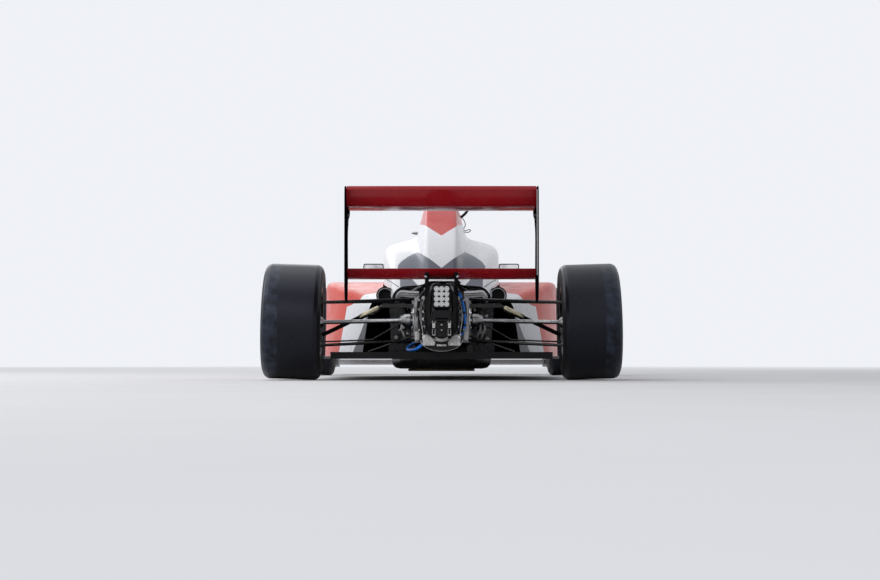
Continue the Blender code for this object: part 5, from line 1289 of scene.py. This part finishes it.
def add_engine_details():
    """What shows of the engine from behind and through the arch of its cover."""
    low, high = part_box("engine")
    back = low.y
    trumpets, headers = [], []
    for k in range(4):
        y = mixed(back + 0.08, high.y - 0.1, k / 3)
        trumpets.append(aligned(lathe(TRUMPET, 28), (0.055, y, high.z), UP))
        y = mixed(back + 0.1, high.y - 0.12, k / 3)
        headers.append(tube([(0.12, y, 0.36), (0.175, y - 0.02, 0.345), (0.196, y - 0.1, 0.3),
                             (0.2, back + 0.02, 0.262 + 0.018 * k)], 0.017, 16))
    piece("intake_trumpets", merged(trumpets), "nut")
    piece("exhaust_headers", mirrored(merged(headers)), "steel")
    brackets = [
        swept([(0.118, back + 0.02, 0.44), (0.25, back - 0.02, 0.415), (0.285, back - 0.06, 0.405)], 0.008, 10),
        tube([(0.125, back - 0.03, 0.23), (0.17, back - 0.06, 0.29), (0.19, back - 0.05, 0.36),
              (0.17, back - 0.03, 0.4)], 0.012, 12),
        aligned(lathe(ENGINE_CAN, 28), (0.205, back - 0.015, 0.205), AHEAD),
    ]
    piece("engine_brackets", mirrored(merged(brackets)), "dark metal")
    fittings = []
    for *at, reach in BAY_FITTINGS:
        fittings.append(aligned(lathe([(depth, share * reach) for depth, share in FITTING], 14), at, BACK))
    for x, bend in ((0.19, 1), (0.214, 1), (-0.196, -1)):
        fittings.append(tube([(x, back - 0.03, 0.3), (x + bend * 0.01, back - 0.045, 0.262),
                              (x - bend * 0.004, back - 0.06, 0.226), (x - bend * 0.012, back - 0.05, 0.196)],
                             0.0075, 10))
    piece("engine_bay_fittings", merged(fittings), "worn alloy")


def add_outlets():
    for name in SIDES:
        low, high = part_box(f"outlet_{name}")
        centre = ((low.x + high.x) / 2, low.y, (low.z + high.z) / 2)
        radius, length = (high.x - low.x) / 2, high.y - low.y
        shell = lathe([
            (0.0, radius - 0.0015), (0.0015, radius), (0.008, radius), (0.01, radius - 0.0015),
            (length, radius * 0.9), (length, radius * 0.9 - 0.004), (0.01, radius - 0.006),
            (0.002, radius - 0.0055)], 56, ring=True)
        ring = hoop(0.012, 0.018, radius - 0.009, radius - 0.0065, 56)
        baffle = drum(0.06, 0.064, radius * 0.8, 56)
        piece(f"outlet_{name}_pipe", aligned(shell, centre, AHEAD), "plastic", stands_for=(f"outlet_{name}",))
        piece(f"outlet_{name}_inner_ring", aligned(ring, centre, AHEAD), "nut")
        piece(f"outlet_{name}_baffle", aligned(baffle, centre, AHEAD), "hose")


# CAD solids that keep their shape: look, bevel and smoothing angle, then the nodes, {} standing for each side
DRESSED = (
    ("arm", 0.0, 60, ("rear_upper_wishbone_{}", "rear_lower_wishbone_{}", "front_upper_wishbone_{}",
                      "front_lower_wishbone_{}", "rear_pushrod_{}", "front_pushrod_{}")),
    ("disc", 0.0, 60, ("drive_shaft_{}",)),
    ("steel", 0.0, 60, ("steering_rack",)),
    ("casting", 0.002, SMOOTH_ANGLE, ("upright_rear_{}", "knuckle_front_{}")),
    ("fins", 0.004, SMOOTH_ANGLE, ("radiator_{}",)),
    ("wood", 0.004, SMOOTH_ANGLE, ("skid_plank",)),
    ("carbon", 0.003, SMOOTH_ANGLE, ("floor",)),
    ("red", 0.008, SMOOTH_ANGLE, ("roll_hoop",)),
    ("white", 0.001, SMOOTH_ANGLE, ("front_wing_main",)),
    ("dull carbon", 0.0015, SMOOTH_ANGLE, ("rear_endplate_{}",)),
    ("carbon", 0.0015, SMOOTH_ANGLE, ("front_endplate_{}",)),
    ("dark metal", 0.008, SMOOTH_ANGLE, ("engine",)),
    ("screen", 0.0006, 70, ("windscreen",)),
    ("gloss plastic", 0.002, 50, ("mirror_{}",)),
)


def add_dressed():
    for look, bevel, angle, nodes in DRESSED:
        for node in dict.fromkeys(node.format(name) for node in nodes for name in SIDES):
            dressed(node, look, bevel, angle)


# Suspension and running gear

SLEEVE_RADII = (0.0122, 0.015, 0.015, 0.0122)


def add_suspension():
    """Pushrod sleeves whose pale brass tone is a painted reflection, anti-roll links and the caps of the wishbones'
    outer joints.
    """
    foot, top = Vector((0.6, REAR_Y + 0.075, 0.225)), Vector((0.29, REAR_Y + 0.075, 0.372))
    start, stop = top.lerp(foot, 0.08), top.lerp(foot, 0.4)
    sleeve = swept([start, start.lerp(stop, 0.06), start.lerp(stop, 0.94), stop], SLEEVE_RADII, 20)
    link = swept([(0.2, REAR_Y - 0.09, 0.285), (0.345, REAR_Y - 0.02, 0.2), (0.6, REAR_Y - 0.03, 0.19)], 0.0042, 10)
    # The sleeves' pale brass tone is a painted reflection.
    piece("pushrod_reflection_sleeves", mirrored(sleeve), "brass")
    piece("anti_roll_links", mirrored(link), "arm")
    caps = []
    for end, y in (("rear", REAR_Y), ("front", FRONT_Y)):
        for level in ("upper", "lower"):
            low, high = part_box(f"{end}_{level}_wishbone_right")
            z = high.z if level == "upper" else min(low.z + 0.022, high.z)
            caps.append(stud((high.x - 0.016, y, z), UP, 0.0085, 0.004))
    piece("ball_joint_caps", mirrored(merged(caps)), "nut")


def add_ducts():
    """The sheets that close the ducts between the tub's sides and the radiators."""
    tub_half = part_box("tub")[1].x
    for name, side in SIDES.items():
        low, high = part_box(f"radiator_{name}")
        inner = min(abs(low.x), abs(high.x)) + 0.02
        foot, top = low.z + 0.002, high.z - 0.006
        outline = [(side * x, z) for x, z in (
            (tub_half * 0.86, foot), (inner, foot), (inner, top), (tub_half * 0.97, top))]
        piece(f"radiator_duct_{name}", plate(outline, "y", low.y - 0.006, low.y - 0.003), "dull carbon")


def add_plates():
    """Small trim of the floor: a row of screws along the edge, and stays from the gearbox to its tail."""
    low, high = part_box("floor")
    rows = [mixed(low.y + 0.5, high.y - 0.35, k / 11) for k in range(12)]
    screws = [stud((high.x - 0.016, y, 0.1181), UP, 0.006, 0.002) for y in rows]
    piece("floor_screws", mirrored(merged(screws)), "nut")
    stay = swept([(0.1, -1.6, 0.232), (0.36, low.y + 0.04, 0.1405)], 0.0035, 8)
    piece("floor_stays", mirrored(stay), "arm")


# Cockpit and fittings

SEAT_PATH = (
    (0.15, 0.214), (0.04, 0.21), (-0.09, 0.206), (-0.175, 0.222), (-0.225, 0.285), (-0.255, 0.38),
    (-0.276, 0.47), (-0.292, 0.552),
)
SEAT_HALF = 0.205
SEAT_BOLSTER = 0.06
SEAT_BOLSTER_START = 0.52
SEAT_CREASE = 0.006
SEAT_CHANNEL = 0.0035
SEAT_THICK = 0.026
SEAT_STEPS = 8
SEAT_COLUMNS = 40


def add_seat():
    """A padded seat shell, its path from the knees to the shoulders, with raised sides and sewn channels."""
    path = [Vector((0, y, z)) for y, z in smoothed(SEAT_PATH, SEAT_STEPS)]
    rings = []
    for index, here in enumerate(path):
        along = heading(path, index)
        out = Vector((0, along.z, -along.y))
        out = -out if out.z < 0 and out.y < 0.2 else out
        row = []
        for column in range(SEAT_COLUMNS + 1):
            u = 2 * column / SEAT_COLUMNS - 1
            lift = SEAT_BOLSTER * (max(0.0, abs(u) - SEAT_BOLSTER_START) / (1 - SEAT_BOLSTER_START)) ** 2
            seam = min(abs(abs(u) - 0.5), abs(u) if abs(u) < 0.2 else 1.0)
            lift -= SEAT_CREASE * math.exp(-(seam / 0.022) ** 2)
            if abs(u) < 0.5:
                lift -= SEAT_CHANNEL * math.exp(-((index % SEAT_STEPS / SEAT_STEPS - 0.5) / 0.1) ** 2)
            row.append(here + RIGHT * u * SEAT_HALF + out * lift)
        rings.append(row + [point - out * SEAT_THICK for point in reversed(row)])
    made = piece("seat_padding", loft(rings), "cloth", stands_for=("seat",), angle=50)


def add_headrest():
    """A padded collar: one rounded section carried round behind the head, closed off at its two ends."""
    low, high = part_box("headrest")
    half_wide, corner, end_length = 0.04, 0.045, 0.022
    side, back, front = high.x - 0.001 - half_wide, low.y + 0.004 + half_wide, high.y - 0.004
    middle, half_high = (low.z + high.z) / 2 + 0.001, (high.z - low.z) / 2 - 0.003
    half = [(0.0, back)]
    for angle in [math.radians(15 * step) for step in range(7)]:
        half.append((side - corner + corner * math.sin(angle), back + corner - corner * math.cos(angle)))
    half += [(side, mixed(back + corner, front, step / 6)) for step in range(1, 6)]
    half += [(side, front - end_length * (1 - math.sin(math.radians(a)))) for a in (30, 55, 75, 90)]
    path = [Vector((x, y, middle)) for x, y in [(-x, y) for x, y in half[:0:-1]] + half]
    rings = []
    for index, here in enumerate(path):
        wide = UP.cross(heading(path, index))
        near_end = max(0.0, 1 - (front - here.y) / end_length)
        size = math.sqrt(max(0.06, 1 - near_end ** 2))
        ring = []
        for turn in turns(28):
            u, v = (math.copysign(abs(value) ** 0.5, value) for value in (math.cos(turn), math.sin(turn)))
            ring.append(here + wide * (u * half_wide * size) + UP * (v * half_high * (0.6 + 0.4 * size)))
        rings.append(ring)
    made = piece("headrest_padding", loft(rings), "cloth", stands_for=("headrest",), angle=50)
    stitches = []
    for shift in (-0.72 * half_wide, 0.72 * half_wide):
        seam = [here + heading(path, index).cross(UP) * shift + UP * half_high * 0.93
                for index, here in enumerate(path)][4:-4]
        for first, second in zip(seam, seam[1:]):
            count = max(1, int((second - first).length / 0.012))
            for k in range(count):
                ends = [first.lerp(second, (k + share) / count) for share in (0.15, 0.75)]
                stitches.append(swept(ends, 0.0011, 5))
    piece("headrest_stitches", merged(stitches), "strap")


STRAP_THICK = 0.0025
STRAP_SECTION = ((-1, -0.6), (-0.92, -1), (0.92, -1), (1, -0.6), (1, 0.6), (0.92, 1), (-0.92, 1), (-1, 0.6))
BUCKLE = ((0, 0), (0, 0.032), (0.01, 0.033), (0.016, 0.028), (0.018, 0.012), (0.022, 0.011), (0.022, 0))


def strap(points, width, across_way=RIGHT):
    """Flat webbing along a path, its width along one way."""
    points = curve_through(points, 8)
    rings = []
    for index, here in enumerate(points):
        ahead = heading(points, index)
        wide = (across_way - ahead * across_way.dot(ahead)).normalized()
        thick = ahead.cross(wide)
        rings.append([here + wide * a * width / 2 + thick * b * STRAP_THICK / 2 for a, b in STRAP_SECTION])
    return loft(rings)


def add_harness():
    """Shoulder, lap and crotch straps laid on the seat, meeting at a round buckle."""
    straps = [
        strap([(0.085, -0.268, 0.566), (0.08, -0.256, 0.51), (0.068, -0.236, 0.43), (0.048, -0.205, 0.335),
               (0.018, -0.155, 0.262)], 0.05),
        strap([(0.172, -0.205, 0.262), (0.11, -0.165, 0.238), (0.025, -0.132, 0.245)], 0.045, Vector((0, 1, 0.3))),
        strap([(0.02, -0.11, 0.246), (0.035, -0.03, 0.226), (0.045, 0.06, 0.226)], 0.035),
    ]
    piece("harness_straps", mirrored(merged(straps)), "strap")
    slider = box((0.04, -0.252, 0.455), (0.1, -0.228, 0.485), 0.003)
    buckle = aligned(lathe(BUCKLE, 40), (0, -0.13, 0.252), (0, 0.55, 1))
    piece("harness_buckles", merged([mirrored(slider), buckle]), "dark metal")


# Right halves of the steering wheel's rim and plate, then its buttons by look
RIM_CORNERS = ((0.07, 0.092, 0.03), (0.118, 0.05, 0.04), (0.118, -0.05, 0.04), (0.07, -0.08, 0.03))
BOARD_CORNERS = ((0.095, 0.055, 0.02), (0.1, -0.01, 0.02), (0.055, -0.062, 0.02))
BUTTONS = {
    "red": ((-0.072, 0.036), (-0.022, -0.044)),
    "blue": ((0.072, 0.036), (0.022, -0.044)),
    "nut": ((-0.066, 0.006), (0.066, 0.006), (-0.04, -0.02), (0.04, -0.02), (0.0, -0.016)),
}
KNOB = ((0.005, 0), (0.005, 0.0075), (0.012, 0.0068), (0.013, 0.005), (0.013, 0))
COLUMN = ((-0.19, 0), (-0.19, 0.0135), (-0.045, 0.0135), (-0.04, 0.026), (-0.02, 0.028), (-0.006, 0.022), (-0.006, 0))


def add_steering_wheel():
    """A flat bottomed rim with two grips, a plate with round buttons and a blank display, on its column."""
    joint = JOINTS["steering_wheel_turn"]
    toward = Vector(joint["axis"]).normalized()
    up = RIGHT.cross(toward)
    up = up if up.z > 0 else -up
    matrix = Matrix.Translation(joint["pos_m"]) @ Matrix((RIGHT, up, toward)).transposed().to_4x4()

    def fitted(name, solid, look, *more):
        piece(name, placed(solid, matrix), look, "steering_wheel", *more)

    loop = [Vector((u, v, 0)) for u, v in rounded(both(RIM_CORNERS), 8)]
    rings = []
    for index, here in enumerate(loop):
        out = heading(loop, index, True).cross(UP)
        thick = 0.0145 if abs(here.x) > 0.085 else 0.0115
        rings.append([here + out * thick * math.cos(a) + UP * thick * math.sin(a) for a in turns(14)])
    fitted("steering_wheel_rim", loft(rings + rings[:1], capped=False), "grip", ("steering_wheel",))
    board = plate(rounded(both(BOARD_CORNERS), 5), "z", -0.006, 0.006, 0.002)
    arms = mirrored(box((0.08, -0.018, -0.005), (0.12, 0.018, 0.005), 0.003))
    fitted("steering_wheel_plate", merged([board, arms]), "carbon")
    fitted("steering_column", aligned(lathe(COLUMN, 32), (0, 0, 0), UP), "dark metal")
    fitted("steering_wheel_display", box((-0.038, 0.012, 0.005), (0.038, 0.046, 0.0095), 0.002), "gloss plastic")
    for tint, places in BUTTONS.items():
        knobs = [aligned(lathe(KNOB, 20), (x, y, 0), UP) for x, y in places]
        fitted(f"steering_wheel_buttons_{tint}", merged(knobs), tint)


DIAL = ((0, 0), (0, 0.026), (0.006, 0.026), (0.008, 0.022), (0.005, 0.021), (0.005, 0))
DASH_CORNERS = ((0.172, 0.4, 0.02), (0.172, 0.58, 0.04))


def add_dashboard():
    """The panel behind the steering wheel, with blank dials, switches and its screws."""
    joint = JOINTS["steering_wheel_turn"]
    y = joint["pos_m"][1] + 0.11
    panel = plate(rounded(both(DASH_CORNERS), 5), "y", y, y + 0.018, 0.003)
    made = piece("dashboard_panel", panel, "dull carbon")
    cut_by(made, [aligned(drum(0, 0.2, 0.0165, 24), joint["pos_m"], -Vector(joint["axis"]))])
    parts = []
    for x in (-0.12, 0.12):
        parts.append(aligned(lathe(DIAL, 36), (x, y, 0.53), BACK))
        for shift in (-0.02, 0.0, 0.02):
            lever = swept([(0, 0, 0), (0.012, 0, 0.004), (0.018, 0, 0.006)], 0.0022, 8)
            parts.append(aligned(lever, (x + shift, y, 0.47), BACK))
        parts.append(stud((x * 1.25, y, 0.425), BACK, 0.004, 0.002))
    piece("dashboard_dials", merged(parts), "nut")


def add_screen_screws():
    screws = []
    for angle in [math.radians(22 * k) for k in range(-3, 4)]:
        place = Vector((0.1885 * math.sin(angle), COCKPIT_FRONT - 0.12 + 0.1935 * math.cos(angle), 0))
        place.z = tub_top(place.y) + 0.008
        screws.append(stud(place, (math.sin(angle), math.cos(angle), 0.2), 0.0045, 0.002))
    piece("windscreen_screws", merged(screws), "nut")


def add_mirror_faces():
    for name, side in SIDES.items():
        low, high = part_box(f"mirror_{name}")
        z0, z1 = high.z - 0.044, high.z - 0.006
        corners = [(side * x, z, 0.009) for x, z in ((0.349, z0), (0.459, z0), (0.459, z1), (0.349, z1))]
        piece(f"mirror_{name}_face", plate(rounded(corners, 5), "y", low.y - 0.0015, low.y - 0.0003), "mirror")


LOOP_PATH = (
    (0.07, -0.46, 0.893), (0.102, -0.47, 0.886), (0.124, -0.47, 0.898), (0.144, -0.47, 0.924),
    (0.146, -0.47, 0.952), (0.126, -0.47, 0.974), (0.098, -0.47, 0.98), (0.072, -0.46, 0.966),
)
CABLE_PATH = (
    (0.094, -0.48, 0.888), (0.119, -0.5, 0.874), (0.132, -0.51, 0.843), (0.124, -0.51, 0.821),
    (0.13, -0.51, 0.808), (0.152, -0.51, 0.815), (0.16, -0.51, 0.808), (0.146, -0.505, 0.8),
    (0.122, -0.5, 0.803),
)
# Place to the left, back, front and half thickness of the blade's sections
BLADE_ROWS = (
    (0.1, -0.5, -0.41, 0.009), (0.146, -0.495, -0.425, 0.008), (0.16, -0.487, -0.437, 0.005),
    (0.165, -0.478, -0.448, 0.001),
)
INTAKE_MIDDLE = 0.907


def add_hoop_fittings():
    """The lifting loop and its cable beside the air intake, the small blade opposite and the intake's lip."""
    piece("lifting_loop", tube(LOOP_PATH, 0.0075, 14, steps=8), "hose")
    piece("loop_cable", tube(CABLE_PATH, 0.0022, 10, steps=8), "hose")
    rings = []
    for x, back, front, half in BLADE_ROWS:
        middle, reach = (back + front) / 2, (front - back) / 2
        rings.append([Vector((-x, middle + reach * math.cos(a), 0.798 + half * math.sin(a))) for a in turns(24)])
    piece("hoop_blade", loft(rings), "casting")
    outline = rounded(both(((0.062, 0.828, 0.015), (0.056, 0.972, 0.02))), 6)
    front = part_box("roll_hoop")[1].y + 0.001
    lip = [across(front + d, [(u * (1 + s), mixed(INTAKE_MIDDLE, v, 1 + s)) for u, v in outline])
           for s, d in ((0.0, 0.0), (0.05, 0.002), (0.1, -0.002))]
    piece("intake_lip", loft(lip, capped=False), "grip")


def row_at(table, share):
    """A row on the smooth curve through a table, at a value of its first column."""
    for index, (first, second) in enumerate(zip(table, table[1:])):
        if first[0] <= share <= second[0]:
            return spline(table, index + (share - first[0]) / (second[0] - first[0]))
    return table[-1]


def add_seams():
    """Quarter turn fasteners of the body panels, and the shut line of the nose."""
    low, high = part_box("engine_cover")
    screws = []
    for y in (-0.56, -0.8, -1.02, -1.24):
        _, x0, z0, x1, z1, *_ = row_at(COVER_SHARES, (y - high.y) / (low.y - high.y))
        x, z = high.x * mixed(x0, x1, 0.25), high.z * mixed(z0, z1, 0.25)
        screws.append(stud((x + 0.0005, y, z), (1, 0, 0.1), 0.009, 0.0018))
    low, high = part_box("sidepod_right")
    for y in (-0.9, -0.55, -0.2, 0.1):
        top = high.z / POD_TOP * row_at(POD_SHARES, (y - low.y) / (high.y - low.y))[4]
        screws.append(stud((0.357, y, top + 0.0003), UP, 0.008, 0.0016))
    piece("panel_fasteners", mirrored(merged(screws)), "nut")
    low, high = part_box("tub")
    ring = tub_rings((TUB_SHARES[-1],) * 2, high.x, low.z, high.z, high.y, high.y + 0.001, 1)[0]
    seam = [[Vector((p.x * s, p.y + d, mixed(0.36, p.z, s))) for p in ring]
            for s, d in ((0.996, -0.001), (1.0015, -0.0006), (1.0015, 0.0016), (0.996, 0.002))]
    piece("nose_seam", loft(seam, capped=False), "grip")


# Studio

FLOOR_TINT = (0.80, 0.80, 0.81)
FLOOR_HALF = 90
SURROUND_TINT = (0.93, 0.95, 1.0)
SURROUND_STRENGTH = 0.93
WORLD_LIGHT = 0.38
FADE_START = 2.5
FADE_END = 15.0
# Name, place, target, size, power and colour
LIGHTS = (
    ("overhead", (-3.5, -0.6, 5.6), (0, -0.4, 0), (8, 9), 250, (0.97, 0.98, 1.0)),
    ("behind", (-4.0, -8.0, 3.6), (0, -1.5, 0.4), (5, 3), 130, (1.0, 0.98, 0.96)),
    ("left", (-7.0, 0.5, 3.2), (0, -0.3, 0.4), (3, 7), 110, (1, 1, 1)),
    ("ahead", (-2.5, 8.0, 4.0), (0, 1.0, 0.3), (5, 3), 60, (1, 1, 1)),
)


def add_stage():
    """A pale matt floor that fades into the pale surround with its distance."""
    look = Look("studio_floor", FLOOR_TINT, 0.9)
    look.set("Specular IOR Level", 0.1)
    shades = [tuple(channel * share for channel in FLOOR_TINT) for share in (0.975, 1.02)]
    look.set("Base Color", look.ramp(look.noise(1.5, 6.0), (0.3, shades[0]), (0.7, shades[1])))
    look.bump(look.noise(140.0, 4.0), 0.08, 0.001)
    far = look.node("VectorMath", {"operation": "LENGTH"})
    look.feed(far.inputs[0], look.place)
    fade = look.node("MapRange", Value=far.outputs["Value"], From_Min=FADE_START, From_Max=FADE_END)
    glow = look.node("Emission", Color=SURROUND_TINT, Strength=SURROUND_STRENGTH).outputs["Emission"]
    blend = look.node("MixShader", Fac=fade.outputs["Result"])
    look.feed(blend.inputs[1], look.shader.outputs["BSDF"])
    look.feed(blend.inputs[2], glow)
    look.feed(look.tree.nodes["Material Output"].inputs["Surface"], blend.outputs["Shader"])
    slab = box((-FLOOR_HALF, -FLOOR_HALF, -0.02), (FLOOR_HALF, FLOOR_HALF, 0.0))
    floor = linked("studio_floor", mesh_of("studio_floor", slab))
    floor.data.materials.append(look.material)


def add_world():
    """A pale surround, plainer for the light that it sheds than for what is seen or mirrored."""
    world = bpy.data.worlds.new("studio_world")
    world.use_nodes = True
    tree = world.node_tree
    background = tree.nodes["Background"]
    rays = tree.nodes.new("ShaderNodeLightPath")
    seen_ray = rays.outputs["Is Camera Ray"]
    for kind in ("Is Glossy Ray", "Is Transmission Ray"):
        either = tree.nodes.new("ShaderNodeMath")
        either.operation = "MAXIMUM"
        tree.links.new(seen_ray, either.inputs[0])
        tree.links.new(rays.outputs[kind], either.inputs[1])
        seen_ray = either.outputs[0]
    strength = tree.nodes.new("ShaderNodeMapRange")
    tree.links.new(seen_ray, strength.inputs["Value"])
    strength.inputs["To Min"].default_value = WORLD_LIGHT
    strength.inputs["To Max"].default_value = SURROUND_STRENGTH
    tree.links.new(strength.outputs[0], background.inputs["Strength"])
    background.inputs["Color"].default_value = (*SURROUND_TINT, 1)
    bpy.context.scene.world = world


def add_lights():
    for name, place, target, size, power, colour in LIGHTS:
        lamp = bpy.data.lights.new(name, "AREA")
        lamp.shape = "RECTANGLE"
        lamp.size, lamp.size_y = size
        lamp.energy = power
        lamp.color = colour
        obj = linked(name, lamp)
        obj.location = place
        obj.rotation_euler = (Vector(target) - Vector(place)).to_track_quat("-Z", "Y").to_euler()


def add_camera():
    camera = bpy.data.cameras.new("camera")
    camera.lens = CAMERA_LENS
    camera.sensor_width = CAMERA_SENSOR
    camera.clip_end = 300
    obj = linked("camera", camera)
    obj.location = CAMERA_PLACE
    obj.rotation_euler = (math.radians(90) + CAMERA_PITCH, 0, 0)
    bpy.context.scene.camera = obj


def build():
    bpy.context.scene.view_settings.view_transform = "Standard"
    for step in (
        add_camera, add_stage, add_world, add_lights, add_wheels, add_dressed, add_suspension, add_ducts, add_tub,
        add_cockpit_rim, add_nose, add_cover, add_tail_lips, add_pods, add_wings, add_endplate_fittings,
        add_rain_light, add_crash_details, add_gearbox_details, add_canisters, add_hoses, add_engine_details,
        add_outlets, add_plates, add_seat, add_headrest, add_harness, add_steering_wheel, add_dashboard,
        add_screen_screws, add_mirror_faces, add_hoop_fittings, add_seams,
    ):
        step()


build()
